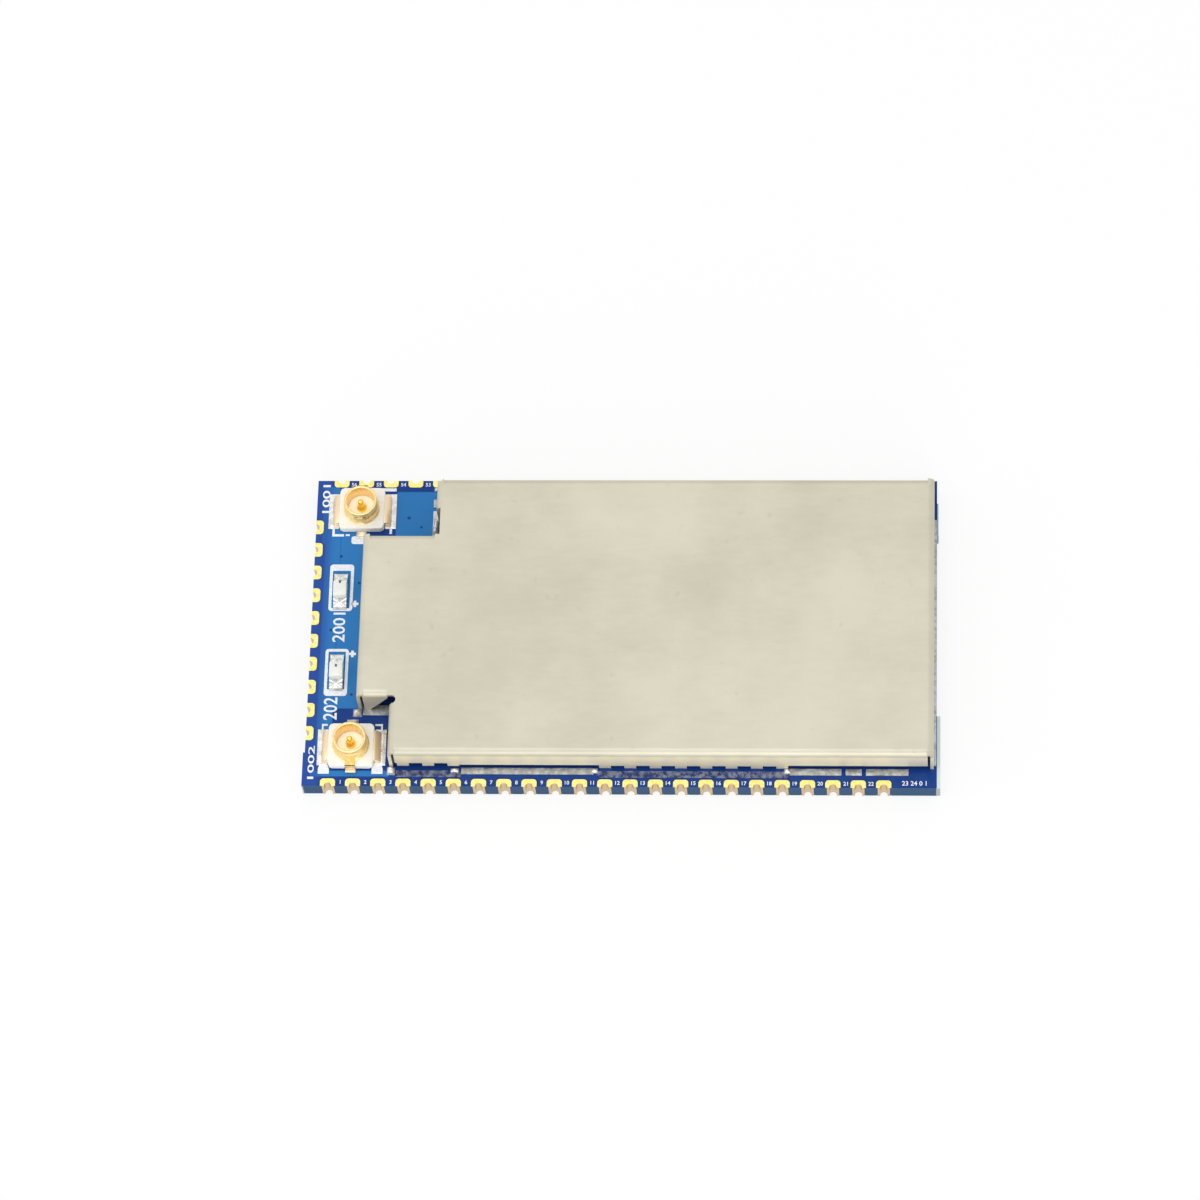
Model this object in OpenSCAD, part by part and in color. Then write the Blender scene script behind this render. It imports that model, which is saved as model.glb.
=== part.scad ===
// Wireless networking module: a castellated carrier board with a folded
// shielding can, two micro coaxial sockets and two indicator lamps.
// Millimetres. X runs along the long side, Y from the front edge to the back,
// Z is up. The origin is under the middle of the overall outline.

/* [Board] */
// Length of the board between its routed side edges
board_w = 37.55; // [36:0.05:60]
// Depth of the board from front edge to back edge
board_d = 20; // [18:0.1:40]
// Thickness of the board
board_t = 1.2; // [0.6:0.1:2]
// Stand-out of the break-off remnant on the left edge
left_tab = 0.11; // [0.05:0.01:0.4]
// Length of the left remnant, from the front edge
left_tab_len = 2.14; // [1:0.01:2.7]
// Stand-out of the break-off remnant on the right edge
right_tab = 0.23; // [0.12:0.01:0.5]
// Length of the right remnant, from the front edge
right_tab_len = 4.6; // [1:0.1:12]
// Stand-out of the small laminate stub near the back right corner
stub_out = 0.1; // [0.05:0.01:0.12]
// Length of the laminate stub
stub_len = 2.1; // [1:0.1:4]
// Distance from the stub to the back edge
stub_back = 1.5; // [0.5:0.1:4]

/* [Castellated pads] */
// Pitch of the edge pads
pitch = 1.5; // [1.27:0.01:2.54]
// First pad of the long rows, from the left edge
first_x = 1.45; // [1:0.01:3]
// First pad of the left row, from the front edge
first_y = 3.37; // [3:0.01:6]
// Bare length kept after the last pad of the long rows
row_end = 3; // [1:0.1:6]
// Bare length kept after the last pad of the left row
side_end = 3; // [1:0.1:6]
// Radius of the drilled half-hole
hole_r = 0.36; // [0.25:0.01:0.5]
// Thickness of the plating in the half-hole
plating = 0.06; // [0.03:0.01:0.12]
// Width of a pad's land along the edge
land_w = 0.9; // [0.75:0.01:1.1]
// Depth of a pad's land from the edge
land_len = 0.48; // [0.4:0.01:0.7]
// Thickness of every copper land on the board
land_t = 0.05; // [0.03:0.01:0.1]

/* [Shielding can] */
// Thickness of the can's sheet
sheet = 0.2; // [0.1:0.01:0.3]
// Height of the can above the board
can_h = 2.3; // [1.9:0.1:4]
// Outer radius of the can's bends
bend_r = 0.4; // [0.3:0.01:0.7]
// Left wall, from the board's left edge
can_left = 3.13; // [2.9:0.01:4]
// Front wall, from the front edge
can_front = 1.18; // [1:0.01:2]
// Right wall, from the right edge
can_right_gap = 0.15; // [0.1:0.01:2]
// Back wall, from the back edge
can_back_gap = 0.88; // [0.6:0.01:2]
// Left end of the front wall, where the front notch ends
step_x = 5.13; // [4.8:0.01:7]
// Depth of the front notch, from the front edge
step_y = 4.9; // [4.6:0.01:6]
// Left end of the back wall, where the back notch ends
notch_x = 7.46; // [6.5:0.01:9]
// Depth of the back notch, from the back edge
notch_d = 4.58; // [4:0.01:6]
// Width of the open seam where two walls meet at a corner
seam = 0.16; // [0.05:0.01:0.3]
// Width of a foot of the front wall
foot_w = 0.7; // [0.4:0.01:1]
// Height of the gaps between the long feet
foot_gap_h = 0.42; // [0.2:0.01:1]
// Height of the front wall's raised stretches above the board
raised_h = 0.52; // [0.2:0.01:1]
// Lift of the short feet at the left end of the front wall
foot_lift = 0.32; // [0.1:0.01:0.4]
// Radius of the relief hole at the front notch
relief_r = 0.26; // [0.15:0.01:0.35]
// Length of the relief slot at the back notch
relief_len = 1.75; // [0.5:0.05:2]
// Width of the relief slot at the back notch
relief_w = 0.27; // [0.15:0.01:0.4]
// Diagonal cut of the top at the back notch's outer corner
corner_cut = 0.3; // [0.1:0.01:0.5]
// Reach of the tinned landing strips in front of the walls
strip_reach = 0.33; // [0.1:0.01:0.5]
// Width of a landing strip under a wall
strip_w = 0.3; // [0.2:0.01:0.6]

/* [Coaxial sockets] */
// Socket axis, from the left edge
socket_x = 2.79; // [2.5:0.01:3]
// Front socket axis, from the front edge
socket_2_y = 2.46; // [2.4:0.01:3]
// Back socket axis, from the back edge
socket_1_back = 2.07; // [1.9:0.01:3]
// Side of the square insulating housing
housing_w = 2.72; // [2.4:0.01:2.8]
// Height of the housing
housing_h = 0.5; // [0.4:0.01:0.8]
// Corner cut of the housing
housing_cut = 0.32; // [0.1:0.01:0.5]
// Outer radius of the barrel's rim
barrel_r = 1.0; // [0.8:0.01:1.05]
// Height of the barrel's rim above the board
barrel_h = 1.66; // [1.3:0.01:2.2]
// Wall thickness of the barrel
barrel_wall = 0.16; // [0.12:0.01:0.2]
// Depth of the rolled groove round the barrel
groove = 0.08; // [0.04:0.01:0.1]
// Height of the rim above the groove
rim_h = 0.26; // [0.15:0.01:0.4]
// Outer radius of the skirt at the foot of the barrel
skirt_r = 1.11; // [1.06:0.01:1.3]
// Thickness of the shell's side wings and rear tab
wing_t = 0.12; // [0.08:0.01:0.2]
// Length of a side wing along the housing
wing_len = 1.9; // [1:0.1:2.2]
// Reach of a wing's foot beyond the housing
wing_foot = 0.34; // [0.2:0.01:0.45]
// Reach of the rear tab's foot beyond the housing
tab_foot = 0.3; // [0.2:0.01:0.4]
// Width of the rear tab and of the signal lead
tab_w = 0.62; // [0.4:0.01:0.9]
// Radius of the centre pin
pin_r = 0.18; // [0.12:0.01:0.25]
// Radius of the pin's collar
collar_r = 0.31; // [0.27:0.01:0.4]
// Clearance of the pin's tip below the rim
pin_sink = 0.08; // [0:0.01:0.3]
// Reach of the signal lead beyond the housing
lead_reach = 0.35; // [0.2:0.01:0.5]
// Overall width across the socket's solder lands
socket_land_w = 4.1; // [3.8:0.05:4.4]

/* [Indicator lamps] */
// Lamp centre line, from the left edge
lamp_x = 1.68; // [1.5:0.01:2]
// Front lamp centre, from the front edge
lamp_2_y = 7.3; // [6.8:0.01:8]
// Distance between the two lamps
lamp_step = 5.3; // [4.5:0.01:5.6]
// Length of a lamp
lamp_l = 1.6; // [1.2:0.1:2]
// Width of a lamp
lamp_w = 0.8; // [0.5:0.1:1]
// Height of a lamp
lamp_h = 0.6; // [0.4:0.05:0.8]
// Thickness of a lamp's base
lamp_base_t = 0.25; // [0.2:0.01:0.3]
// Thickness of the small chips' metal end caps
cap_t = 0.05; // [0.03:0.01:0.08]
// Length of a lamp's solder land
lamp_land = 0.75; // [0.5:0.05:0.9]

/* [Chips under the can] */
// Side of the processor package
cpu_w = 8; // [7:0.5:9.5]
// Height of the processor package
cpu_h = 0.85; // [0.7:0.05:1.2]
// Pitch of the processor's contacts
cpu_pitch = 0.5; // [0.4:0.05:0.8]
// Width of the memory chip
ram_w = 8; // [6:0.5:9]
// Depth of the memory chip
ram_d = 12.5; // [9:0.5:13]
// Thickness of the memory chip's body
ram_h = 0.8; // [0.6:0.05:1.1]
// Height of the memory chip's solder balls
ball_h = 0.35; // [0.2:0.01:0.4]
// Radius of a solder ball
ball_r = 0.2; // [0.15:0.01:0.3]
// Body width of the flash chip
flash_w = 3.9; // [3:0.1:4.2]
// Body depth of the flash chip
flash_d = 4.9; // [4.6:0.1:5]
// Height of the flash chip
flash_h = 1.5; // [1.2:0.05:1.55]
// Reach of the flash chip's leads beyond its body
flash_lead = 1.05; // [0.8:0.05:1.2]
// Pitch of the flash chip's leads
flash_pitch = 1.27; // [1:0.01:1.27]
// Length of the crystal's ceramic base
crystal_l = 3.2; // [2.5:0.1:3.5]
// Width of the crystal's ceramic base
crystal_w = 2.5; // [2:0.1:2.5]
// Height of the crystal
crystal_h = 0.8; // [0.6:0.05:1]
// Side of a power inductor
choke_w = 3; // [2:0.1:3.2]
// Height of a power inductor
choke_h = 1.2; // [0.9:0.05:1.5]
// Side of a radio amplifier package
amp_w = 2; // [1.5:0.1:2.2]
// Height of a radio amplifier package
amp_h = 0.6; // [0.4:0.05:0.9]
// Length of a chip capacitor or resistor
chip_l = 1; // [0.6:0.1:1.1]
// Width of a chip capacitor or resistor
chip_w = 0.5; // [0.3:0.05:0.6]
// Height of a chip capacitor
cap_h = 0.5; // [0.3:0.05:0.6]
// Height of a chip resistor
res_h = 0.35; // [0.25:0.05:0.5]

/* [Hidden] */
$fn = 48;
over = 1; // how far a cutting shape runs past what it cuts
mid_x = (board_w + right_tab - left_tab) / 2; // middle of the outline, from the board's corner
mid_y = board_d / 2;

// pads
row_count = floor((board_w - first_x - row_end) / pitch) + 1;
side_count = floor((board_d - first_y - side_end) / pitch) + 1;
function pad_x(i) = first_x + pitch * i;
function pad_y(i) = first_y + pitch * i;

// can outline, measured from the board's front left corner
can_right = board_w - can_right_gap;
can_back = board_d - can_back_gap;
notch_y = board_d - notch_d;
wall_top = can_h - bend_r;
through = sheet + seam; // where a wall starts beside the wall that passes it

// first and last pad that the front wall has a foot behind
short_feet = [3, 5];
long_feet = [11, 18];

// sockets
socket_1_y = board_d - socket_1_back;
floor_z = housing_h; // inside floor of the barrel
wing_z = housing_h - wing_t - 0.1;
groove_half = 0.13; // half of the groove's height

// chips under the can
clear = 0.5; // between the chips and the can's walls
gap = 0.4; // between a chip and its small neighbours
in_front = can_front + sheet;
in_right = can_right - sheet;
in_back = can_back - sheet;
chip_y = (in_front + in_back) / 2; // middle line of the chips
cpu_x = notch_x + 3;
cpu_y = in_front + clear;
ram_x = cpu_x + cpu_w + chip_l + 2 * gap;
flash_x = cpu_x + flash_lead + gap;
flash_y = in_back - clear - flash_d;
bay_x = step_x + sheet + clear;
power_x = in_right - clear - choke_w;
edge_x = can_left + sheet + gap + chip_l / 2;
step = chip_w + gap; // from chip to chip, side by side

// [x, y, turn] of every small chip
capacitor_spots = concat(
    [for (i = [0 : 4]) [cpu_x + 1 + (chip_l + gap) * i, cpu_y + cpu_w + gap, 0]],
    [for (i = [0 : 4]) [cpu_x + cpu_w + gap + chip_l / 2, cpu_y + 1 + 1.8 * step * i, 0]],
    [for (i = [0 : 3]) [power_x + chip_l / 2, chip_y - gap - step * i, 0]],
    [for (i = [0 : 2]) [edge_x, step_y + 2 + step * i, 0]]
);
resistor_spots = concat(
    [for (i = [0 : 5]) [ram_x + 1 + step * i, in_front + clear + chip_l / 2, 90]],
    [for (i = [0 : 3]) [flash_x + flash_w + flash_lead + gap + chip_l / 2,
                        flash_y + 0.6 + step * i, 0]],
    [for (i = [0 : 2]) [edge_x, notch_y - 1.6 - step * i, 0]]
);
choke_spots = [[power_x, in_front + clear], [power_x, in_back - clear - choke_w]];
regulator_spots = [[power_x + choke_w / 2, chip_y + 0.2]];
radio_rows = [step_y + 1.2, notch_y - 1.2 - amp_w]; // front edge of each amplifier
filter_w = 1.25;
filter_l = 2;
filter_h = 0.9;
filter_grip = 0.3;

// ---------- placing helpers ----------

// from the board's front left corner, at the height of its top face
module on_top(x = 0, y = 0) {
    translate([x - mid_x, y - mid_y, board_t]) children();
}

// pad i of a row, its edge on the local X axis and the board towards +Y
module at_front(i) {
    translate([pad_x(i) - mid_x, -mid_y, 0]) children();
}
module at_back(i) {
    translate([pad_x(i) - mid_x, mid_y, 0]) rotate(180) children();
}
module at_left(i) {
    translate([-mid_x, pad_y(i) - mid_y, 0]) rotate(-90) children();
}
module every_front() { for (i = [0 : row_count - 1]) at_front(i) children(); }
module every_back() { for (i = [0 : row_count - 1]) at_back(i) children(); }
module every_left() { for (i = [0 : side_count - 1]) at_left(i) children(); }

// ---------- board and its plated edge ----------

module land_outline() {
    translate([-land_w / 2, 0]) square([land_w, land_len]);
}

// what a castellated pad takes out of the board
module pad_cut() {
    translate([0, 0, -over]) cylinder(r = hole_r, h = board_t + 2 * over);
    translate([0, 0, -over]) linear_extrude(over + land_t) land_outline();
}

// one plated half-hole with its upper and lower land
module castellation() {
    difference() {
        union() {
            linear_extrude(land_t) land_outline();
            translate([0, 0, board_t]) linear_extrude(land_t) land_outline();
            intersection() {
                cylinder(r = hole_r, h = board_t);
                translate([-hole_r, 0, 0]) cube([2 * hole_r, hole_r, board_t]);
            }
        }
        translate([0, 0, -over]) cylinder(r = hole_r - plating, h = board_t + 2 * over);
    }
}

module circuit_board() {
    color("#1b4f9c") difference() {
        translate([-mid_x, -mid_y, 0]) union() {
            cube([board_w, board_d, board_t]);
            translate([-left_tab, 0, 0]) cube([board_w / 2, left_tab_len, board_t]);
            translate([board_w / 2 + right_tab, 0, 0])
                cube([board_w / 2, right_tab_len, board_t]);
            translate([board_w / 2 + stub_out, board_d - stub_back - stub_len, 0])
                cube([board_w / 2, stub_len, board_t]);
        }
        every_front() pad_cut();
        every_back() pad_cut();
        every_left() pad_cut();
    }
}

module front_pads() { color("#e8c66a") every_front() castellation(); }
module back_pads() { color("#e8c66a") every_back() castellation(); }
module left_pads() { color("#e8c66a") every_left() castellation(); }

// ---------- folded shielding can ----------

// quarter bend of a wall of this length, outer face on the local XZ plane
module bend(len) {
    translate([0, bend_r, wall_top]) rotate([90, 0, 90]) intersection() {
        difference() {
            cylinder(r = bend_r, h = len);
            translate([0, 0, -over]) cylinder(r = bend_r - sheet, h = len + 2 * over);
        }
        translate([-bend_r, 0, 0]) cube([bend_r, bend_r, len]);
    }
}

// upright wall with its bend, its lower edge at the height low
module wall(len, low = land_t) {
    translate([0, 0, low]) cube([len, sheet, wall_top - low]);
    bend(len);
}

// cut-out of the front wall's lower edge between these two places
module edge_gap(x0, x1, top) {
    translate([x0, -over, -over]) cube([x1 - x0, sheet + 2 * over, over + top]);
}

// gaps on either side of the feet under the pads from first to last
module gaps_between(first, last, top) {
    for (i = [first : last - 1])
        edge_gap(pad_x(i) + foot_w / 2, pad_x(i + 1) - foot_w / 2, top);
}

// front wall in the board's X: short feet, a raised stretch, long feet, a raised stretch
module front_wall(x0, x1) {
    short_end = pad_x(short_feet[1]) + foot_w / 2;
    long_start = pad_x(long_feet[0]) - foot_w / 2;
    long_end = pad_x(long_feet[1]) + foot_w / 2;
    difference() {
        translate([x0, 0, 0]) wall(x1 - x0);
        edge_gap(x0 - over, short_end, foot_lift);
        edge_gap(x0 - over, pad_x(short_feet[0]) - foot_w / 2, foot_gap_h + foot_lift);
        gaps_between(short_feet[0], short_feet[1], foot_gap_h + foot_lift);
        edge_gap(short_end, long_start, raised_h);
        gaps_between(long_feet[0], long_feet[1], foot_gap_h);
        edge_gap(long_end, x1 + over, raised_h);
    }
}

// the flap in the front notch, cut short towards the inner corner
module notch_flap(len) {
    bend(len);
    rotate([90, 0, 0]) translate([0, 0, -sheet]) linear_extrude(sheet)
        polygon([[0, land_t], [0.3, land_t], [0.55 * len, 0.42 * wall_top],
                 [len, 0.96 * wall_top], [len, wall_top], [0, wall_top]]);
}

// flat top between the bends
module can_top() {
    left = can_left + bend_r;
    front = can_front + bend_r;
    hole_x = step_x + relief_r / 2;
    translate([0, 0, can_h - sheet]) linear_extrude(sheet) difference() {
        polygon([
            [step_x + bend_r, front], [can_right - bend_r, front],
            [can_right - bend_r, can_back - bend_r],
            [notch_x + bend_r, can_back - bend_r],
            [notch_x + bend_r, notch_y + relief_len],
            [notch_x + relief_w, notch_y + relief_len], [notch_x + relief_w, notch_y],
            [notch_x, notch_y], [notch_x, notch_y - bend_r],
            [left, notch_y - bend_r], [left, step_y + bend_r],
            [hole_x - relief_r, step_y + bend_r], [hole_x - relief_r, step_y],
            [hole_x, step_y], [hole_x, step_y - 2 * relief_r],
            [step_x + bend_r, step_y - 2 * relief_r]
        ]);
        translate([hole_x, step_y - relief_r]) circle(r = relief_r);
    }
}

module shield_can() {
    right_seam = can_right - through;
    back_start = notch_x + through;
    side_end_y = step_y - 2 * relief_r;
    color("#cfcab2") on_top() difference() {
        union() {
            can_top();
            translate([0, can_front, 0]) front_wall(step_x + through, right_seam);
            translate([right_seam, can_back, 0]) rotate(180)
                wall(right_seam - back_start);
            // walls that pass the seams
            translate([can_right, can_front, 0]) rotate(90) wall(can_back - can_front);
            translate([can_left, notch_y, 0]) rotate(-90) wall(notch_y - step_y);
            translate([step_x, side_end_y, 0]) rotate(-90) wall(side_end_y - can_front);
            translate([notch_x, can_back, 0]) rotate(-90)
                wall(can_back - notch_y - relief_len);
            // walls of the two notches
            translate([can_left + through, step_y, 0])
                notch_flap(step_x - relief_r / 2 - can_left - through);
            translate([notch_x, notch_y, 0]) rotate(180)
                wall(notch_x - can_left - through);
        }
        translate([notch_x, can_back, 0]) rotate(45)
            translate([-over, -corner_cut, wall_top]) cube([2 * over, 2 * over, 2 * bend_r]);
    }
}

// tinned strips that the can is soldered to
module strip(x0, y0, x1, y1) {
    translate([x0, y0, 0]) cube([x1 - x0, y1 - y0, land_t]);
}

module shield_lands() {
    out = can_front - strip_reach;
    in = can_front + strip_w;
    raised = pad_x(short_feet[1]) + foot_w / 2 + 0.1;
    teeth = pad_x(long_feet[0]) - foot_w / 2 - 0.1;
    last = pad_x(long_feet[1]) + foot_w / 2 + 0.15;
    color("#c3c6c4") on_top() intersection() {
        union() {
            strip(step_x + through, can_front, raised - 0.2, in);
            strip(raised, out, teeth - 0.2, in);
            strip(teeth, can_front, last - 0.2, in);
            strip(last, out, last + 3.05, in);
            strip(last + 3.3, out, last + 4.25, in);
            strip(last + 4.5, out, in_right - 1.3, in);
            strip(in_right - 1.1, can_front, in_right - 0.2, in);
            for (y = [can_front + 0.2 : 3.5 : can_back - 3.5])
                strip(can_right - strip_w, y, can_right + 0.07, y + 3.3);
            strip(notch_x + 0.5, can_back - strip_w, in_right - 0.3, can_back);
            strip(can_left, step_y + 0.5, can_left + strip_w, notch_y - 0.4);
            strip(step_x, can_front + 0.3, step_x + strip_w, step_y - 0.8);
            strip(can_left + 0.7, step_y - 0.4, step_x - 0.2, step_y + strip_w);
            strip(can_left + through, notch_y - strip_w, notch_x - 0.3, notch_y);
            strip(notch_x - strip_reach, notch_y + 0.15, notch_x, notch_y + relief_len - 0.1);
            strip(notch_x - strip_reach, notch_y + relief_len + 0.1,
                  notch_x + strip_w, can_back - 0.2);
        }
        translate([0, 0, -over]) cube([can_right + 0.1, board_d, 2 * over]);
    }
}

// solder blobs at the feet of the open corners
module blob(x, y, r, h) {
    translate([x, y, 0]) cylinder(r1 = r, r2 = 0.4 * r, h = h);
}

module shield_solder() {
    color("#e6e4da") on_top() difference() {
        union() {
            blob(step_x - 0.02, can_front - 0.12, 0.26, 0.4);
            blob(can_left + 0.02, step_y - 0.14, 0.28, 0.35);
            for (i = [0 : 2])
                blob(notch_x - 0.16, notch_y + 0.25 + 0.35 * i, 0.22, 0.4 - 0.08 * i);
        }
        shield_can_solid();
        lands_solid();
    }
}

// the can's foot walls and the strips, as cutters for the blobs
module shield_can_solid() {
    translate([step_x, can_front, 0]) cube([sheet, 2, can_h]);
    translate([step_x + through, can_front, 0]) cube([2, sheet, can_h]);
    translate([can_left, step_y, 0]) cube([sheet, 2, can_h]);
    translate([can_left + through, step_y, 0]) cube([2, sheet, can_h]);
    translate([can_left, notch_y - sheet, 0]) cube([notch_x - can_left, sheet, can_h]);
}
module lands_solid() {
    translate([notch_x - strip_reach, notch_y + 0.15, -over])
        cube([strip_reach, relief_len, over + land_t]);
    translate([can_left + 0.7, step_y - 0.4, -over]) cube([2, 1, over + land_t]);
}

// ---------- micro coaxial sockets ----------
// local frame: centre of the housing, signal lead towards -Y, on the lands

// the drawn barrel in half section: conical foot in the housing, flared
// skirt, straight wall, rolled groove and a rounded rim
module barrel() {
    r = barrel_r;
    in_r = r - barrel_wall;
    h = barrel_h - land_t;
    edge = 0.03;
    flare = housing_h + 0.2;
    groove_mid = h - rim_h - groove_half;
    rotate_extrude() polygon([
        [in_r, wing_z], [skirt_r + 0.06, wing_z], [skirt_r, housing_h],
        [r, flare], [r, groove_mid - groove_half], [r - groove, groove_mid],
        [r, h - rim_h], [r, h - edge], [r - edge, h],
        [in_r + edge, h], [in_r, h - 2 * edge], [in_r, h - rim_h],
        [in_r - groove / 2, groove_mid], [in_r, groove_mid - groove_half]
    ]);
}

// the shape and its mirror image on either side of the YZ plane
module both_sides() {
    children();
    mirror([1, 0, 0]) children();
}

module shell() {
    half = housing_w / 2;
    tab_start = skirt_r - 0.15;
    barrel();
    // side wings: through the housing, down its sides and out along the board
    both_sides() {
        translate([barrel_r - 0.05, -wing_len / 2, wing_z])
            cube([half - barrel_r + 0.05 + wing_t, wing_len, wing_t]);
        translate([half, -wing_len / 2, 0]) cube([wing_t, wing_len, wing_z + wing_t]);
        translate([half, -wing_len / 2, 0]) cube([wing_foot, wing_len, wing_t]);
    }
    // rear tab: over the housing's top, down its back and out along the board
    translate([-tab_w / 2, tab_start, housing_h])
        cube([tab_w, half + wing_t - tab_start, wing_t]);
    translate([-tab_w / 2, half, 0]) cube([tab_w, wing_t, housing_h + wing_t]);
    translate([-tab_w / 2, half, 0]) cube([tab_w, tab_foot, wing_t]);
}

module contact() {
    tip = barrel_h - land_t - pin_sink;
    reach = housing_w / 2 + lead_reach;
    translate([-tab_w / 2, -reach, 0]) cube([tab_w, reach + 0.3, wing_t]);
    cylinder(r = collar_r, h = floor_z + 0.25);
    translate([0, 0, floor_z + 0.25]) cylinder(r1 = collar_r, r2 = pin_r, h = 0.2);
    cylinder(r = pin_r, h = tip - pin_r);
    translate([0, 0, tip - pin_r]) sphere(r = pin_r);
}

module housing() {
    a = housing_w / 2;
    b = a - housing_cut;
    difference() {
        linear_extrude(housing_h)
            polygon([[-b, -a], [b, -a], [a, -b], [a, b], [b, a], [-b, a], [-a, b], [-a, -b]]);
        shell();
        contact();
    }
}

// solder lands: one under each wing, one under the lead, one under the rear tab
module socket_lands() {
    half = housing_w / 2;
    w = socket_land_w / 2 - half + 0.15;
    both_sides()
        translate([half - 0.15, -wing_len / 2 - 0.2, -land_t])
            cube([w, wing_len + 0.4, land_t]);
    translate([-tab_w / 2 - 0.05, -half - lead_reach - 0.1, -land_t])
        cube([tab_w + 0.1, lead_reach + 0.5, land_t]);
    translate([-tab_w / 2 - 0.05, half - 0.4, -land_t])
        cube([tab_w + 0.1, 0.4 + tab_foot, land_t]);
}

module at_socket_1() { on_top(socket_x, socket_1_y) translate([0, 0, land_t]) children(); }
module at_socket_2() {
    on_top(socket_x, socket_2_y) translate([0, 0, land_t]) rotate(180) children();
}

module socket_1_housing() { color("#f4f0e2") at_socket_1() housing(); }
module socket_1_shell() { color("#e3b765") at_socket_1() shell(); }
module socket_1_contact() { color("#f0cf55") at_socket_1() contact(); }
module socket_1_lands() { color("#d5d5cf") at_socket_1() socket_lands(); }
module socket_2_housing() { color("#f4f0e2") at_socket_2() housing(); }
module socket_2_shell() { color("#e3b765") at_socket_2() shell(); }
module socket_2_contact() { color("#f0cf55") at_socket_2() contact(); }
module socket_2_lands() { color("#d5d5cf") at_socket_2() socket_lands(); }

// ---------- indicator lamps ----------
// local frame: centre of the lamp, length along Y, on the lands

// metal end caps that wrap a chip of this size
module end_caps(l, w, h, grip) {
    for (side = [0, 1]) mirror([0, side, 0]) difference() {
        translate([-w / 2, l / 2 - grip, 0]) cube([w, grip, h]);
        translate([-w, l / 2 - grip - over, cap_t])
            cube([2 * w, grip + over - cap_t, h - 2 * cap_t]);
    }
}

// body between the end caps
module capped_body(l, w, h, grip) {
    translate([-w / 2, cap_t - l / 2, cap_t]) cube([w, l - 2 * cap_t, h - 2 * cap_t]);
    translate([-w / 2, grip - l / 2, 0]) cube([w, l - 2 * grip, h]);
}

lamp_grip = 0.28;
die_w = 0.3;
die_h = 0.12;

module lamp_base() { capped_body(lamp_l, lamp_w, lamp_base_t, lamp_grip); }
module lamp_terminals() { end_caps(lamp_l, lamp_w, lamp_base_t, lamp_grip); }
module lamp_die() {
    translate([-die_w / 2, 0.12 - die_w / 2, lamp_base_t]) cube([die_w, die_w, die_h]);
}
module lamp_lens() {
    half = lamp_l / 2 - lamp_grip;
    difference() {
        translate([lamp_w / 2, 0, lamp_base_t]) rotate([90, 0, -90]) linear_extrude(lamp_w)
            polygon([[-half, 0], [half, 0], [half - 0.06, lamp_h - lamp_base_t],
                     [0.06 - half, lamp_h - lamp_base_t]]);
        lamp_die();
    }
}

lamp_1_y = lamp_2_y + lamp_step;
module at_lamp_1() { on_top(lamp_x, lamp_1_y) translate([0, 0, land_t]) children(); }
module at_lamp_2() {
    on_top(lamp_x, lamp_2_y) translate([0, 0, land_t]) rotate(180) children();
}

module lamp_1_base() { color("#efeee6") at_lamp_1() lamp_base(); }
module lamp_1_lens() { color("#fbfbf2") at_lamp_1() lamp_lens(); }
module lamp_1_die() { color("#4a5a55") at_lamp_1() lamp_die(); }
module lamp_1_terminals() { color("#d8d6cb") at_lamp_1() lamp_terminals(); }
module lamp_2_base() { color("#efeee6") at_lamp_2() lamp_base(); }
module lamp_2_lens() { color("#fbfbf2") at_lamp_2() lamp_lens(); }
module lamp_2_die() { color("#4a5a55") at_lamp_2() lamp_die(); }
module lamp_2_terminals() { color("#d8d6cb") at_lamp_2() lamp_terminals(); }

module lamp_lands() {
    color("#d5d5cf") for (y = [lamp_1_y, lamp_2_y], side = [0, 1])
        on_top(lamp_x, y) mirror([0, side, 0])
            translate([-lamp_w / 2, lamp_l / 2 - lamp_grip - 0.1, 0])
                cube([lamp_w, lamp_land, land_t]);
}

// ---------- chips under the can ----------

contact_w = 0.25;
contact_len = 0.4;
contact_h = 0.2;
cpu_count = floor((cpu_w - 1) / cpu_pitch);

module processor_contacts() {
    half = cpu_w / 2;
    color("#c9a25a") on_top(cpu_x + half, cpu_y + half) {
        for (turn = [0 : 90 : 270], i = [0 : cpu_count - 1]) rotate(turn)
            translate([(i - (cpu_count - 1) / 2) * cpu_pitch - contact_w / 2, -half, 0])
                cube([contact_w, contact_len, contact_h]);
        translate([-0.3 * cpu_w, -0.3 * cpu_w, 0]) cube([0.6 * cpu_w, 0.6 * cpu_w, land_t]);
    }
}
module processor_body() {
    color("#2b2d30") difference() {
        on_top(cpu_x, cpu_y) translate([0, 0, land_t]) cube([cpu_w, cpu_w, cpu_h]);
        processor_contacts();
    }
}

ball_pitch_x = 0.8;
ball_pitch_y = 1;
ball_rows = floor((ram_d - 1) / ball_pitch_y) - 1;
module memory_balls() {
    color("#b9bcbe") for (x = [-4, -3, -2, 2, 3, 4], j = [0 : ball_rows - 1])
        on_top(ram_x + ram_w / 2 + x * ball_pitch_x * ram_w / 8,
               chip_y + (j - (ball_rows - 1) / 2) * ball_pitch_y)
            cylinder(r = ball_r, h = ball_h, $fn = 16);
}
module memory_body() {
    color("#26282b") on_top(ram_x, chip_y - ram_d / 2) translate([0, 0, ball_h])
        cube([ram_w, ram_d, ram_h]);
}

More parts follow.
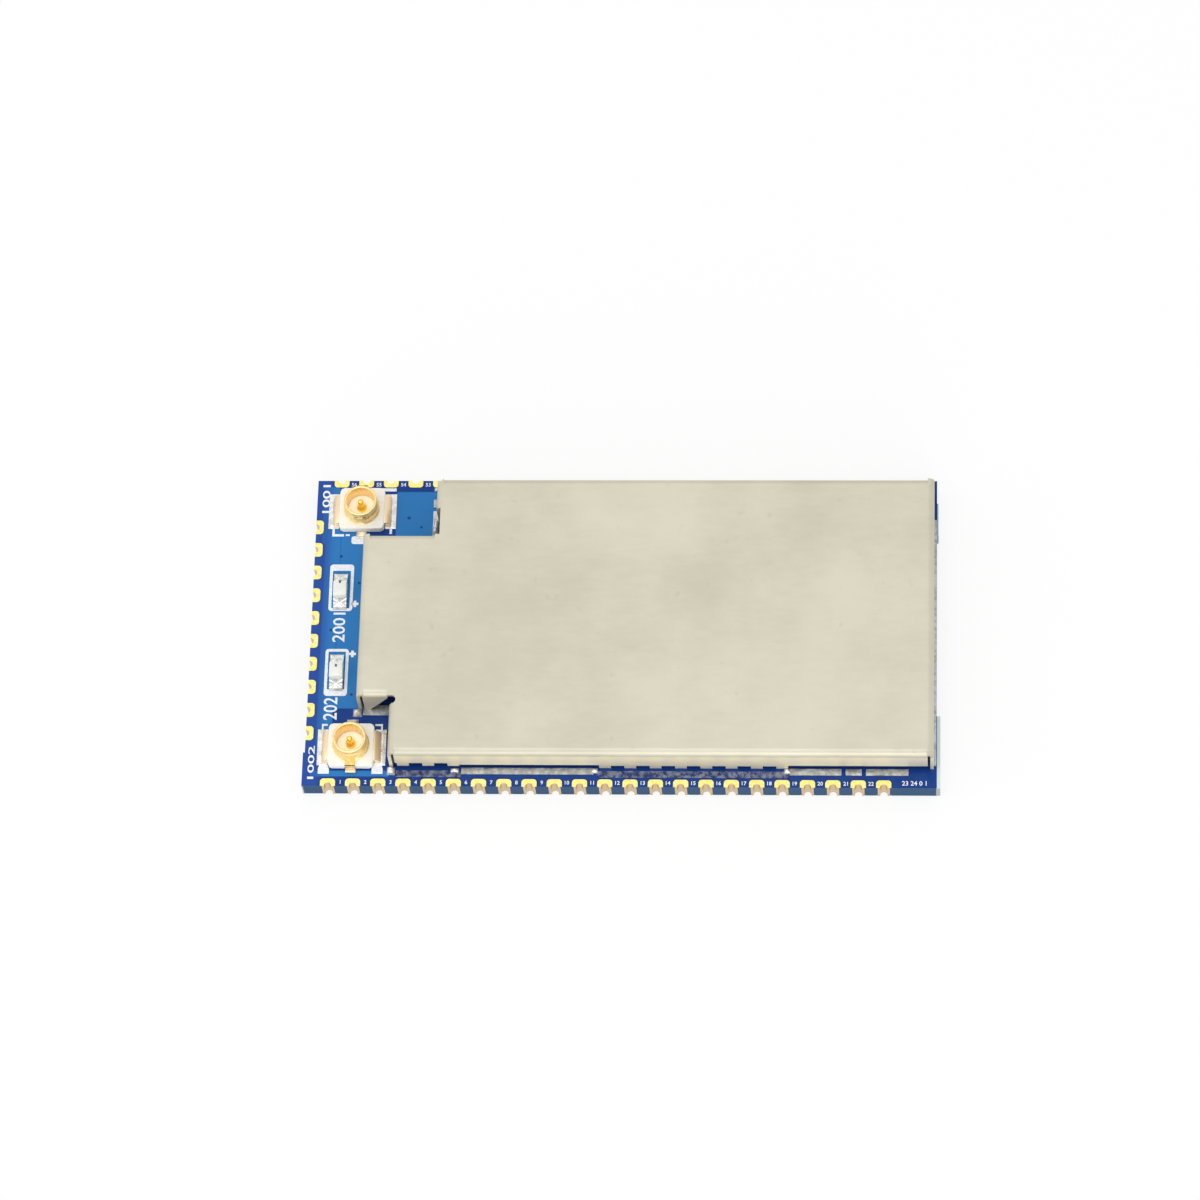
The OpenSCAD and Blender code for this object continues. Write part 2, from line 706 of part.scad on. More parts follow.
flash_stand = 0.12;
lead_t = 0.2;
lead_w = 0.4;
lead_knee = 0.7;
module flash_leads() {
    color("#bfc1c0") for (side = [0, 1], i = [0 : 3])
        on_top(flash_x + flash_w / 2, flash_y + flash_d / 2 + (i - 1.5) * flash_pitch)
            mirror([side, 0, 0]) translate([flash_w / 2, lead_w / 2, 0])
                rotate([90, 0, 0]) linear_extrude(lead_w) polygon([
                    [0, lead_knee], [0.35, lead_knee], [0.5, 0], [flash_lead, 0],
                    [flash_lead, lead_t], [0.65, lead_t], [0.5, lead_knee + lead_t],
                    [0, lead_knee + lead_t]
                ]);
}
module flash_body() {
    pin_mark = 0.35;
    color("#222427") on_top(flash_x, flash_y) difference() {
        translate([0, 0, flash_stand]) cube([flash_w, flash_d, flash_h - flash_stand]);
        translate([0.7, 0.7, flash_h - 0.08]) cylinder(r = pin_mark, h = over);
    }
}

crystal_lid_t = 0.25;
crystal_x = notch_x + sheet + clear;
crystal_y = in_back - clear - crystal_l;
module crystal_base() {
    color("#6d6357") on_top(crystal_x, crystal_y)
        cube([crystal_w, crystal_l, crystal_h - crystal_lid_t]);
}
module crystal_lid() {
    rim = 0.15;
    color("#d9d4c2") on_top(crystal_x + rim, crystal_y + rim)
        translate([0, 0, crystal_h - crystal_lid_t])
            cube([crystal_w - 2 * rim, crystal_l - 2 * rim, crystal_lid_t]);
}

choke_pad = 0.8;
module choke_cores() {
    color("#54565a") for (p = choke_spots) on_top(p[0], p[1])
        translate([0, 0, land_t]) difference() {
            cube([choke_w, choke_w, choke_h]);
            translate([choke_w / 2, choke_w / 2, choke_h - 0.15])
                cylinder(r = 0.3 * choke_w, h = over);
        }
}
module choke_terminals() {
    color("#c8c9c6") for (p = choke_spots, x = [0, choke_w - choke_pad])
        on_top(p[0] + x, p[1] + 0.2) cube([choke_pad, choke_w - 0.4, land_t]);
}

reg_w = 1.6;
reg_d = 2.9;
reg_h = 1.1;
module regulator_bodies() {
    color("#24262a") for (p = regulator_spots)
        on_top(p[0] - reg_w / 2, p[1]) translate([0, 0, flash_stand])
            cube([reg_w, reg_d, reg_h - flash_stand]);
}
module regulator_leads() {
    color("#bfc1c0") for (p = regulator_spots, side = [0, 1], i = [-1 : 1])
        on_top(p[0], p[1] + reg_d / 2 + 0.95 * i) mirror([side, 0, 0])
            translate([reg_w / 2, lead_w / 2, 0]) rotate([90, 0, 0])
                linear_extrude(lead_w) polygon([
                    [0, 0.45], [0.15, 0.45], [0.25, 0], [0.6, 0],
                    [0.6, 0.15], [0.35, 0.15], [0.25, 0.6], [0, 0.6]
                ]);
}

module at_filters() {
    for (y = radio_rows) on_top(bay_x + amp_w + gap + filter_w / 2, y + amp_w / 2) children();
}
module radio_amplifiers() {
    color("#2b2d30") for (y = radio_rows) on_top(bay_x, y) cube([amp_w, amp_w, amp_h]);
}
module radio_filters() {
    color("#e9e4d4") at_filters() capped_body(filter_l, filter_w, filter_h, filter_grip);
}
module filter_terminals() {
    color("#cfcfca") at_filters() end_caps(filter_l, filter_w, filter_h, filter_grip);
}

chip_grip = 0.25;
module at_spots(spots) { for (p = spots) on_top(p[0], p[1]) rotate(90 + p[2]) children(); }
module capacitor_bodies() {
    color("#a98b62") at_spots(capacitor_spots) capped_body(chip_l, chip_w, cap_h, chip_grip);
}
module capacitor_terminals() {
    color("#cfcfca") at_spots(capacitor_spots) end_caps(chip_l, chip_w, cap_h, chip_grip);
}
module resistor_bodies() {
    color("#1d1f24") at_spots(resistor_spots) capped_body(chip_l, chip_w, res_h, chip_grip);
}
module resistor_terminals() {
    color("#cfcfca") at_spots(resistor_spots) end_caps(chip_l, chip_w, res_h, chip_grip);
}

// ---------- output ----------
circuit_board();
front_pads();
left_pads();
back_pads();
shield_can();
shield_lands();
shield_solder();
socket_1_housing();
socket_1_shell();
socket_1_contact();
socket_1_lands();
socket_2_housing();
socket_2_shell();
socket_2_contact();
socket_2_lands();
lamp_1_base();
lamp_1_lens();
lamp_1_die();
lamp_1_terminals();
lamp_2_base();
lamp_2_lens();
lamp_2_die();
lamp_2_terminals();
lamp_lands();
processor_body();
processor_contacts();
memory_body();
memory_balls();
flash_body();
flash_leads();
crystal_base();
crystal_lid();
choke_cores();
choke_terminals();
regulator_bodies();
regulator_leads();
radio_amplifiers();
radio_filters();
filter_terminals();
capacitor_bodies();
capacitor_terminals();
resistor_bodies();
resistor_terminals();
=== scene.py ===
# %% [markdown]
# # A wireless module, dressed for a render
#
# The module is a small blue circuit board with plated half-holes along three
# edges, a folded metal can soldered over its chips, two tiny coaxial sockets
# and two indicator lamps. The solid model gives every piece its shape and
# place. This script gives each piece its material, rebuilds the small round
# pieces as smooth meshes, and adds the printed marks, the solder and the
# plated holes that only matter to the eye.

# %% Load the solid model
import math

import bmesh
import bpy
from mathutils import Matrix, Vector


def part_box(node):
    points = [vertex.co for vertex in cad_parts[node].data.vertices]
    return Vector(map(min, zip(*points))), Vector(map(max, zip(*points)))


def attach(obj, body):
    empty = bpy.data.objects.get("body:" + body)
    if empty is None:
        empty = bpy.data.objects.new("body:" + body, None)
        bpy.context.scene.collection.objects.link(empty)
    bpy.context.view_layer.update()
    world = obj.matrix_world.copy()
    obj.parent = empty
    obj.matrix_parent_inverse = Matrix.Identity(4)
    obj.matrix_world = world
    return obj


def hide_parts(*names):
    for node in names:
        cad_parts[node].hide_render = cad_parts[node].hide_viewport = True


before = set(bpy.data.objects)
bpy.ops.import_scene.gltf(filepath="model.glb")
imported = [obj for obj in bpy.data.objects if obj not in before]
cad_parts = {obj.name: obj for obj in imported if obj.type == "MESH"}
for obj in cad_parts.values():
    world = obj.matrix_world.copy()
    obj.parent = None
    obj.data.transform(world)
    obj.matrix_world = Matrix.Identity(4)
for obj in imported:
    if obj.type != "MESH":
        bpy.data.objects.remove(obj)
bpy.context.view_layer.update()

MM = 0.001
print("nodes:", len(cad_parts))

# %% [markdown]
# ## Driving sizes
#
# Every place below is given in millimetres from the board's front left corner,
# as on a board drawing, with z measured from the board's top face. One small
# function turns such a place into metres in the model's own frame. The frame's
# origin is under the middle of the outline, so the corner is worked out from
# the board's box, less the break-off remnants that stand out at both ends.

# %% Places on the board
board_low, board_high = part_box("circuit_board")
LEFT_TAB = 0.11
RIGHT_TAB = 0.23
BOARD_W = (board_high.x - board_low.x) / MM - LEFT_TAB - RIGHT_TAB
BOARD_D = (board_high.y - board_low.y) / MM
BOARD_T = (board_high.z - board_low.z) / MM
CORNER = Vector((board_low.x / MM + LEFT_TAB, board_low.y / MM, BOARD_T))


def place(x, y, z=0.0):
    """A point on the board, in millimetres from its corner, as metres in the frame."""
    return (CORNER + Vector((x, y, z))) * MM


def on_board(node):
    """A node's box in board millimetres, as lowest and highest corner."""
    low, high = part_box(node)
    return low / MM - CORNER, high / MM - CORNER


print("board:", round(BOARD_W, 3), "x", round(BOARD_D, 3), "x", round(BOARD_T, 3))

# %% [markdown]
# ## The camera
#
# A small object like this is best seen through a long lens from about a third
# of a metre away, so its parallel edges stay nearly parallel. The camera stands
# in front of the long edge, well above the board, and is turned a little to
# the right of the middle.

# %% Camera
cam_data = bpy.data.cameras.new("camera")
cam_data.sensor_width = 36
cam_data.lens = 171.4315
cam_data.clip_start = 0.01
cam_data.clip_end = 10
camera = bpy.data.objects.new("camera", cam_data)
camera.location = (CORNER + Vector((38.19993, -126.79149, 313.23491))) * MM
camera.rotation_euler = [math.radians(a) for a in (23.95868, 3.14092, 1.50704)]
bpy.context.scene.collection.objects.link(camera)
bpy.context.scene.camera = camera
print("camera at", [round(v, 4) for v in camera.location])

# %% [markdown]
# ## Writing materials as sums
#
# A node material is arithmetic on values that vary over a surface. Linking
# dozens of Math nodes by hand hides that arithmetic, so one small class wraps
# a socket and turns Python's own operators into Math nodes. Writing
# `1 - mask * 0.5` then adds the two nodes that it needs. Every other node
# comes from one method, `node`, which sets the node's options first and then
# fills or links its inputs.


# %% The socket class
class Wave:
    """A value in a material: an output socket with arithmetic."""

    def __init__(self, tree, socket):
        self.tree = tree
        self.socket = socket

    def math(self, operation, *values):
        """A Math node fed by this value and the others."""
        return self.node("ShaderNodeMath", {"operation": operation},
                         dict(enumerate((self, *values))))

    def node(self, kind, settings=None, inputs=None, output=0):
        """Any node: its settings are set first, then its sockets are filled."""
        made = self.tree.nodes.new(kind)
        for name, value in (settings or {}).items():
            if name == "stops":
                ramp_stops(made.color_ramp, value)
            else:
                setattr(made, name, value)
        for name, value in (inputs or {}).items():
            socket = made.inputs[name]
            if isinstance(value, Wave):
                self.tree.links.new(value.socket, socket)
            else:
                socket.default_value = value
        return Wave(self.tree, made.outputs[output])

    def __add__(self, other): return self.math("ADD", other)
    def __radd__(self, other): return self.math("ADD", other)
    def __sub__(self, other): return self.math("SUBTRACT", other)
    def __rsub__(self, other): return constant(self, other).math("SUBTRACT", self)
    def __mul__(self, other): return self.math("MULTIPLY", other)
    def __rmul__(self, other): return self.math("MULTIPLY", other)

    def clamp(self, low=0.0, high=1.0):
        return self.node("ShaderNodeClamp", {}, {"Value": self, "Min": low, "Max": high})

    def smooth(self, low, high, to_low=0.0, to_high=1.0):
        """A soft step from to_low below low to to_high above high."""
        return self.node("ShaderNodeMapRange", {"interpolation_type": "SMOOTHSTEP"},
                         {"Value": self, "From Min": low, "From Max": high,
                          "To Min": to_low, "To Max": to_high})

    def mix(self, first, second):
        """A colour between first and second, by this value."""
        return self.node("ShaderNodeMix", {"data_type": "RGBA", "clamp_factor": True},
                         {0: self, 6: first, 7: second}, 2)


def constant(like, value):
    """A plain number as a node, for the left side of a subtraction."""
    made = like.tree.nodes.new("ShaderNodeValue")
    made.outputs[0].default_value = value
    return Wave(like.tree, made.outputs[0])


def ramp_stops(ramp, stops):
    """Puts the given (position, colour) stops on a colour ramp."""
    while len(ramp.elements) < len(stops):
        ramp.elements.new(0.5)
    for element, (position, colour) in zip(ramp.elements, stops):
        element.position = position
        element.color = colour


def srgb(red, green, blue, alpha=1.0):
    """A colour given as it looks on a screen, 0 to 255, as linear light."""
    def linear(c):
        c = c / 255
        return c / 12.92 if c <= 0.04045 else ((c + 0.055) / 1.055) ** 2.4
    return (linear(red), linear(green), linear(blue), alpha)


print("helpers ready")

# %% [markdown]
# ## A material to start from
#
# Each finish on the module is one Principled shader. The function below makes
# the material, sets the plain numbers on the shader itself and hands back what
# the recipes need: the shader, and the object's own coordinates in millimetres.
# Grain is a noise texture on those coordinates, so that it keeps its real size
# on every piece.


# %% Material helper
class Finish:
    """One Principled material and the values that its recipe works with."""

    def __init__(self, name, colour, roughness=0.5, metallic=0.0, **plain):
        self.material = bpy.data.materials.new(name)
        self.material.use_nodes = True
        self.tree = self.material.node_tree
        self.shader = self.tree.nodes["Principled BSDF"]
        self.set("Base Color", colour)
        self.set("Roughness", roughness)
        self.set("Metallic", metallic)
        for socket, value in plain.items():
            self.set(socket.replace("_", " "), value)
        coordinates = self.tree.nodes.new("ShaderNodeTexCoord")
        self.here = Wave(self.tree, coordinates.outputs["Object"])
        self.mm = self.here.node("ShaderNodeVectorMath", {"operation": "SCALE"},
                                 {0: self.here, "Scale": 1 / MM})
        split = self.tree.nodes.new("ShaderNodeSeparateXYZ")
        self.tree.links.new(self.mm.socket, split.inputs[0])
        self.x, self.y, self.z = (Wave(self.tree, s) for s in split.outputs)

    def set(self, socket, value):
        """Sets or links one of the shader's sockets."""
        if isinstance(value, Wave):
            self.tree.links.new(value.socket, self.shader.inputs[socket])
        else:
            self.shader.inputs[socket].default_value = value

    def noise(self, per_mm, detail=3.0, roughness=0.55, stretch=(1, 1, 1)):
        """Grain from 0 to 1 with this many waves in a millimetre."""
        scaled = self.mm.node("ShaderNodeVectorMath", {"operation": "MULTIPLY"},
                              {0: self.mm, 1: tuple(stretch)})
        return self.mm.node("ShaderNodeTexNoise", {},
                            {"Vector": scaled, "Scale": per_mm, "Detail": detail,
                             "Roughness": roughness})

    def bump(self, height, depth_mm, strength=1.0):
        """Feeds a height from 0 to 1, this many millimetres deep, to the normal."""
        self.set("Normal", height.node("ShaderNodeBump", {},
                                       {"Height": height, "Strength": strength,
                                        "Distance": depth_mm * MM}))


def dress(node, finish):
    """Gives a piece of the solid model its finish."""
    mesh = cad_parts[node].data
    mesh.materials.clear()
    mesh.materials.append(finish.material)


print("finish helper ready")

# %% [markdown]
# ## The board's solder mask
#
# Solder mask is a glossy, slightly see-through blue lacquer. Where copper lies
# under it the blue is lighter and a little green, and where there is only
# laminate it is a deep navy. So the top's colour follows a small map of copper
# areas, built from rectangles whose edges are soft steps of x and y. The routed
# sides show the dark laminate, and the break-off remnants on the short sides
# show raw, pale glass fibre.


# %% Copper areas as soft rectangles
def within(finish, x0, x1, y0, y1, soft=0.05):
    """1 inside a rectangle of the board and 0 outside, with soft edges."""
    def between(value, low, high):
        return (value.smooth(low - soft, low + soft)
                * value.smooth(high - soft, high + soft, 1, 0))
    return between(finish.u, x0, x1) * between(finish.v, y0, y1)


def board_coordinates(finish):
    """Adds u, v and h: millimetres from the board's corner and above its top."""
    finish.u = finish.x - CORNER.x
    finish.v = finish.y - CORNER.y
    finish.h = finish.z - CORNER.z


def vias(finish, spots):
    """1 on the small plugged holes at the given places, 0 elsewhere."""
    dots = None
    for u, v, radius in spots:
        du, dv = finish.u - u, finish.v - v
        dot = (du * du + dv * dv).smooth((0.6 * radius) ** 2, (1.3 * radius) ** 2, 1, 0)
        dots = dot if dots is None else dots.math("MAXIMUM", dot)
    return dots


COPPER = [  # x0, x1, y0, y1 of each copper area on the top face
    (0.62, 1.55, 2.0, 17.2), (1.55, 3.2, 5.0, 17.2), (4.85, 7.3, 15.4, 19.25),
    (0.35, 5.05, 0.62, 0.98), (0.4, 1.35, 15.8, 19.6),
]
VIA_SPOTS = [
    (5.62, 17.52, 0.1), (5.5, 16.1, 0.1), (1.62, 14.96, 0.09), (2.78, 13.2, 0.09),
    (2.95, 9.2, 0.09), (2.62, 5.9, 0.09), (1.2, 10.1, 0.09), (6.4, 16.9, 0.08),
]


def solder_mask():
    blue = srgb(46, 122, 190)
    navy = srgb(14, 38, 122)
    finish = Finish("solder_mask", blue, 0.32, Specular_IOR_Level=0.15)
    board_coordinates(finish)
    copper = None
    for x0, x1, y0, y1 in COPPER:
        area = within(finish, x0, x1, y0, y1)
        copper = area if copper is None else copper.math("MAXIMUM", area)
    weave = finish.noise(1.4, 4) * 0.2 + finish.noise(9, 2) * 0.12
    shade = (copper * 0.85 + weave).clamp()
    top = shade.mix(navy, blue)
    left_strip = finish.u.smooth(0.55, 1.3, 0.75, 0.0)
    top = left_strip.mix(top, srgb(44, 82, 164))
    top = (vias(finish, VIA_SPOTS) * 0.75).mix(top, srgb(12, 34, 96))
    top = finish.u.smooth(BOARD_W + 0.01, BOARD_W + 0.05).mix(top, srgb(208, 230, 226))
    layers = finish.noise(3, 4, stretch=(1, 1, 6)) * 0.7
    side = layers.mix(srgb(44, 74, 108), srgb(66, 94, 124))
    fibres = finish.noise(5, 5, stretch=(1, 1, 8))
    pale = fibres.mix(srgb(150, 168, 176), srgb(206, 210, 196))
    short_side = (finish.u.smooth(BOARD_W - 0.02, BOARD_W)
                  + finish.u.smooth(-0.06, -0.01, 1, 0)).clamp()
    side = (short_side * 0.8).mix(side, pale)
    upper = finish.h.smooth(-0.05, -0.02)
    under = finish.h.smooth(-BOARD_T + 0.02, -BOARD_T + 0.05, 1, 0)
    finish.set("Base Color", (upper + under).clamp().mix(side, top))
    finish.set("Roughness", 0.3 + (1 - (upper + under).clamp()) * 0.4)
    finish.bump(copper * 0.6 + finish.noise(6, 3) * 0.4, 0.02, 0.5)
    return finish


mask = solder_mask()
dress("circuit_board", mask)
print("mask over", len(COPPER), "copper areas and", len(VIA_SPOTS), "vias")

# %% [markdown]
# ## Metals
#
# The can is drawn from nickel silver sheet: a warm grey, satin from rolling,
# with faint blotches where hands and flux have been. The pads and sockets are
# gold over nickel. Solder and tinned strips are bright, uneven and cooler.
# Each is a metallic Principled shader whose colour and roughness wander a
# little with noise of the right grain.


# %% Sheet of the can
def can_sheet():
    finish = Finish("can_sheet", srgb(206, 201, 178), 0.46, 0.6)
    cloud = finish.noise(0.13, 3)
    grain = finish.noise(3.0, 5, stretch=(0.35, 1, 1))
    spots = finish.noise(1.1, 2).smooth(0.66, 0.8)
    tone = (cloud * 0.75 + grain * 0.25).smooth(0.3, 0.7)
    colour = tone.mix(srgb(194, 190, 170), srgb(210, 205, 186))
    colour = (spots * 0.3).mix(colour, srgb(178, 174, 156))
    finish.set("Base Color", colour)
    finish.set("Roughness", 0.42 + grain * 0.14 + spots * 0.06)
    finish.bump(grain * 0.7 + finish.noise(0.5, 2) * 0.3, 0.012, 0.35)
    return finish


def gold_plate(name, light, deep, roughness, metallic=1.0):
    finish = Finish(name, light, roughness, metallic)
    grain = finish.noise(7, 4)
    finish.set("Base Color", grain.smooth(0.35, 0.7).mix(light, deep))
    finish.set("Roughness", roughness - 0.06 + grain * 0.16)
    finish.bump(grain, 0.008, 0.4)
    return finish


def tint(finish, mask, colour):
    """Turns a finish towards another colour where the mask is 1."""
    socket = finish.shader.inputs["Base Color"]
    present = Wave(finish.tree, socket.links[0].from_socket)
    finish.set("Base Color", mask.mix(present, colour))


def tint_below(finish, low, high, colour):
    """Turns a finish towards another colour below these heights over the board."""
    tint(finish, (finish.z - CORNER.z).smooth(low, high, 1, 0), colour)


def tinned(name, light, deep, roughness, lump, metallic=0.85):
    finish = Finish(name, light, roughness, metallic)
    lumps = finish.noise(3.5, 3)
    finish.set("Base Color", lumps.smooth(0.35, 0.65).mix(light, deep))
    finish.set("Roughness", roughness - 0.08 + finish.noise(9, 2) * 0.2)
    finish.bump(lumps, lump, 0.6)
    return finish


can_metal = can_sheet()
pad_gold = gold_plate("pad_gold", srgb(255, 242, 156), srgb(250, 220, 122), 0.3)
# Painted shade: the plating in the half-holes and below the board's top is painted a darker
# tan, for the shade there.
tint_below(pad_gold, -0.04, 0.0, srgb(214, 190, 150))
barrel_gold = gold_plate("barrel_gold", srgb(255, 228, 164), srgb(243, 206, 134), 0.32, 0.68)
tint_below(barrel_gold, 0.45, 0.52, srgb(246, 220, 184))
contact_gold = gold_plate("contact_gold", srgb(255, 226, 110), srgb(240, 196, 84), 0.22)
tint_below(contact_gold, 0.2, 0.3, srgb(190, 174, 150))
tin = tinned("tin", srgb(206, 208, 208), srgb(168, 171, 174), 0.38, 0.03)
solder = tinned("solder", srgb(244, 243, 238), srgb(214, 212, 206), 0.26, 0.05, 0.55)
flux_tin = tinned("flux_tin", srgb(126, 132, 152), srgb(48, 60, 112), 0.5, 0.04)
for node in ("shield_can", "crystal_lid"):
    dress(node, can_metal)
for node in ("front_pads", "left_pads", "back_pads", "processor_contacts"):
    dress(node, pad_gold)
TIN_NODES = ["shield_lands", "lamp_lands", "socket_1_lands", "socket_2_lands",
             "lamp_1_terminals", "lamp_2_terminals", "memory_balls", "flash_leads",
             "choke_terminals", "regulator_leads", "filter_terminals",
             "capacitor_terminals", "resistor_terminals"]
for node in TIN_NODES:
    dress(node, tin)
dress("shield_solder", solder)
print("metals on", 6 + len(TIN_NODES) + 1, "nodes")

# %% [markdown]
# ## Resins and ceramics
#
# The socket housings are moulded in a heat-proof white resin that passes a
# little light. The lamps have a milky resin lens over a white cup.
# Chips under the can are black epoxy with a fine matte grain, and the small
# parts round them are fired ceramic or pressed ferrite.


# %% Resins and ceramics
def moulded(name, light, deep, roughness, grain_depth=0.006, **plain):
    finish = Finish(name, light, roughness, 0.0, **plain)
    grain = finish.noise(6, 4)
    finish.set("Base Color", grain.smooth(0.3, 0.75).mix(light, deep))
    finish.set("Roughness", roughness - 0.05 + grain * 0.12)
    finish.bump(grain, grain_depth, 0.4)
    return finish


white_resin = moulded("white_resin", srgb(255, 252, 244), srgb(248, 243, 232), 0.45,
                      Subsurface_Weight=0.15, Subsurface_Scale=0.0006)
lamp_cup = moulded("lamp_cup", srgb(248, 248, 240), srgb(232, 234, 222), 0.5)
lamp_die = moulded("lamp_die", srgb(96, 112, 100), srgb(60, 74, 70), 0.35)
black_epoxy = moulded("black_epoxy", srgb(44, 45, 48), srgb(34, 35, 38), 0.6, 0.01)
chip_ceramic = moulded("chip_ceramic", srgb(172, 142, 104), srgb(150, 120, 86), 0.6)
pale_ceramic = moulded("pale_ceramic", srgb(232, 227, 212), srgb(214, 207, 190), 0.55)
ferrite = moulded("ferrite", srgb(92, 94, 98), srgb(74, 76, 80), 0.65, 0.012)


def clear_resin():
    finish = Finish("clear_resin", srgb(252, 253, 247), 0.12, 0.0, IOR=1.5)
    haze = finish.noise(2.5, 3)
    finish.set("Alpha", 0.82 + haze * 0.15)
    finish.set("Roughness", 0.08 + haze * 0.1)
    return finish


lens_resin = clear_resin()
FINISHES = {
    white_resin: ["socket_1_housing", "socket_2_housing"],
    lamp_cup: ["lamp_1_base", "lamp_2_base"],
    lamp_die: ["lamp_1_die", "lamp_2_die"],
    lens_resin: ["lamp_1_lens", "lamp_2_lens"],
    black_epoxy: ["processor_body", "memory_body", "flash_body", "regulator_bodies",
                  "radio_amplifiers", "resistor_bodies"],
    chip_ceramic: ["crystal_base", "capacitor_bodies"],
    pale_ceramic: ["radio_filters"],
    ferrite: ["choke_cores"],
    barrel_gold: ["socket_1_shell", "socket_2_shell"],
    contact_gold: ["socket_1_contact", "socket_2_contact"],
}
for finish, nodes in FINISHES.items():
    for node in nodes:
        dress(node, finish)
print("resins and ceramics ready")

# %% [markdown]
# ## From a shape to a finished piece
#
# New pieces are modelled in board millimetres, which keeps their numbers
# readable, and one matrix takes the finished shape to metres in the frame. The
# helper below closes a piece: it merges doubles, turns the faces outwards,
# shades it smooth except over real edges, and hides the nodes of the solid
# model that the piece stands for. Edges of real parts are never razor sharp, so
# some pieces first get a narrow bevel that catches the light.

# %% Piece helpers
TO_FRAME = Matrix.Scale(MM, 4) @ Matrix.Translation(CORNER)


def finish_piece(name, shape, finish, nodes=(), angle=35):
    """Makes an object of a shape in board millimetres and hands it to the frame."""
    bmesh.ops.remove_doubles(shape, verts=shape.verts, dist=0.0005)
    bmesh.ops.recalc_face_normals(shape, faces=shape.faces)
    bmesh.ops.transform(shape, matrix=TO_FRAME, verts=shape.verts)
    for face in shape.faces:
        face.smooth = True
    for edge in shape.edges:
        edge.smooth = edge.calc_face_angle(math.pi) < math.radians(angle)
    mesh = bpy.data.meshes.new(name)
    shape.to_mesh(mesh)
    shape.free()
    mesh.materials.append(finish.material)
    piece = bpy.data.objects.new(name, mesh)
    bpy.context.scene.collection.objects.link(piece)
    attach(piece, "root")
    if nodes:
        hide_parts(*nodes)
    return piece


def weigh_normals(piece):
    """Keeps large flat faces flat in shading where they run into a bend."""
    weigh = piece.modifiers.new("weigh_normals", "WEIGHTED_NORMAL")
    weigh.keep_sharp = True


def ease_edges(shape, width, angle=35, segments=2):
    """Bevels every edge that is sharper than the angle."""
    sharp = [e for e in shape.edges if e.calc_face_angle(0) > math.radians(angle)]
    bmesh.ops.bevel(shape, geom=sharp, offset=width, offset_type="OFFSET",
                    segments=segments, profile=0.5, affect="EDGES",
                    clamp_overlap=True, material=-1)


def add_block(shape, x0, y0, z0, x1, y1, z1, edge=0.0):
    """Adds a box between two corners, with eased edges."""
    block = bmesh.new()
    bmesh.ops.create_cube(block, size=1)
    size = Matrix.Diagonal((x1 - x0, y1 - y0, z1 - z0, 1))
    middle = Matrix.Translation(((x0 + x1) / 2, (y0 + y1) / 2, (z0 + z1) / 2))
    bmesh.ops.transform(block, matrix=middle @ size, verts=block.verts)
    if edge:
        ease_edges(block, edge)
    add_shape(shape, block)


def add_shape(shape, part, matrix=None):
    """Adds a copy of part to shape, moved by the matrix, and frees part."""
    if matrix is not None:
        bmesh.ops.transform(part, matrix=matrix, verts=part.verts)
    carrier = bpy.data.meshes.new("carrier")
    part.to_mesh(carrier)
    part.free()
    shape.from_mesh(carrier)
    bpy.data.meshes.remove(carrier)


def pull_out(shape, faces, vec):
    """Extrudes faces along a vector into a closed solid."""
    pulled = bmesh.ops.extrude_face_region(shape, geom=faces)["geom"]
    bmesh.ops.translate(shape, vec=vec,
                        verts=[v for v in pulled if isinstance(v, bmesh.types.BMVert)])


def merged_node(node):
    """A node of the solid model as one merged shape, in board millimetres."""
    shape = bmesh.new()
    shape.from_mesh(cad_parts[node].data)
    bmesh.ops.transform(shape, matrix=TO_FRAME.inverted(), verts=shape.verts)
    bmesh.ops.remove_doubles(shape, verts=shape.verts, dist=0.0005)
    bmesh.ops.dissolve_limit(shape, angle_limit=math.radians(0.5),
                             verts=shape.verts, edges=shape.edges)
    return shape


def turned(profile, steps=64):
    """A closed profile of (radius, height) points turned about the Z axis."""
    shape = bmesh.new()
    verts = [shape.verts.new((r, 0, z)) for r, z in profile]
    for first, second in zip(verts, verts[1:] + verts[:1]):
        shape.edges.new((first, second))
    bmesh.ops.spin(shape, geom=shape.verts[:] + shape.edges[:], cent=(0, 0, 0),
                   axis=(0, 0, 1), angle=math.tau, steps=steps, use_merge=True)
    bmesh.ops.remove_doubles(shape, verts=shape.verts, dist=0.0005)
    return shape


print("piece helpers ready")

# %% [markdown]
# ## The shielding can
#
# The can of the solid model already has its folds, seams and feet. Its copy is
# merged and shaded smooth over the bends, so that the rolled edge along the
# front takes one long, even highlight. Weighted normals keep the large top
# perfectly flat up to that edge. The front wall's colour is painted a little
# paler than the rest: painted light for the light that the white floor throws on it.

# %% Can
can = merged_node("shield_can")
bmesh.ops.triangulate(can, faces=can.faces)
board_coordinates(can_metal)
# Painted light: the front wall below the fold is tinted paler, for the light from the white
# floor.
front_wall_painted_light = can_metal.v.smooth(1.24, 1.34, 1, 0) * can_metal.h.smooth(1.7, 1.95, 1, 0)
tint(can_metal, front_wall_painted_light, srgb(240, 232, 206))
can_piece = finish_piece("can_shell", can, can_metal, ["shield_can"])
weigh_normals(can_piece)
print("can faces:", len(can_piece.data.polygons))

# %% [markdown]
# ## Plated half-holes
#
# A castellated pad is a plated hole that the routing of the board's edge has
# cut in half. One pad is modelled once: half a tube, spun from a small upright
# rectangle, and two flat lands with rounded inner corners that the hole bites
# into. The same shape then goes to every place along the three edges.

# %% Castellated pads
PITCH, FIRST_X, FIRST_Y = 1.5, 1.45, 3.37
ROW_COUNT, SIDE_COUNT = 23, 10
HOLE_R, PLATING, LAND_T = 0.36, 0.14, 0.05
LAND_W, LAND_LEN = 0.9, 0.46


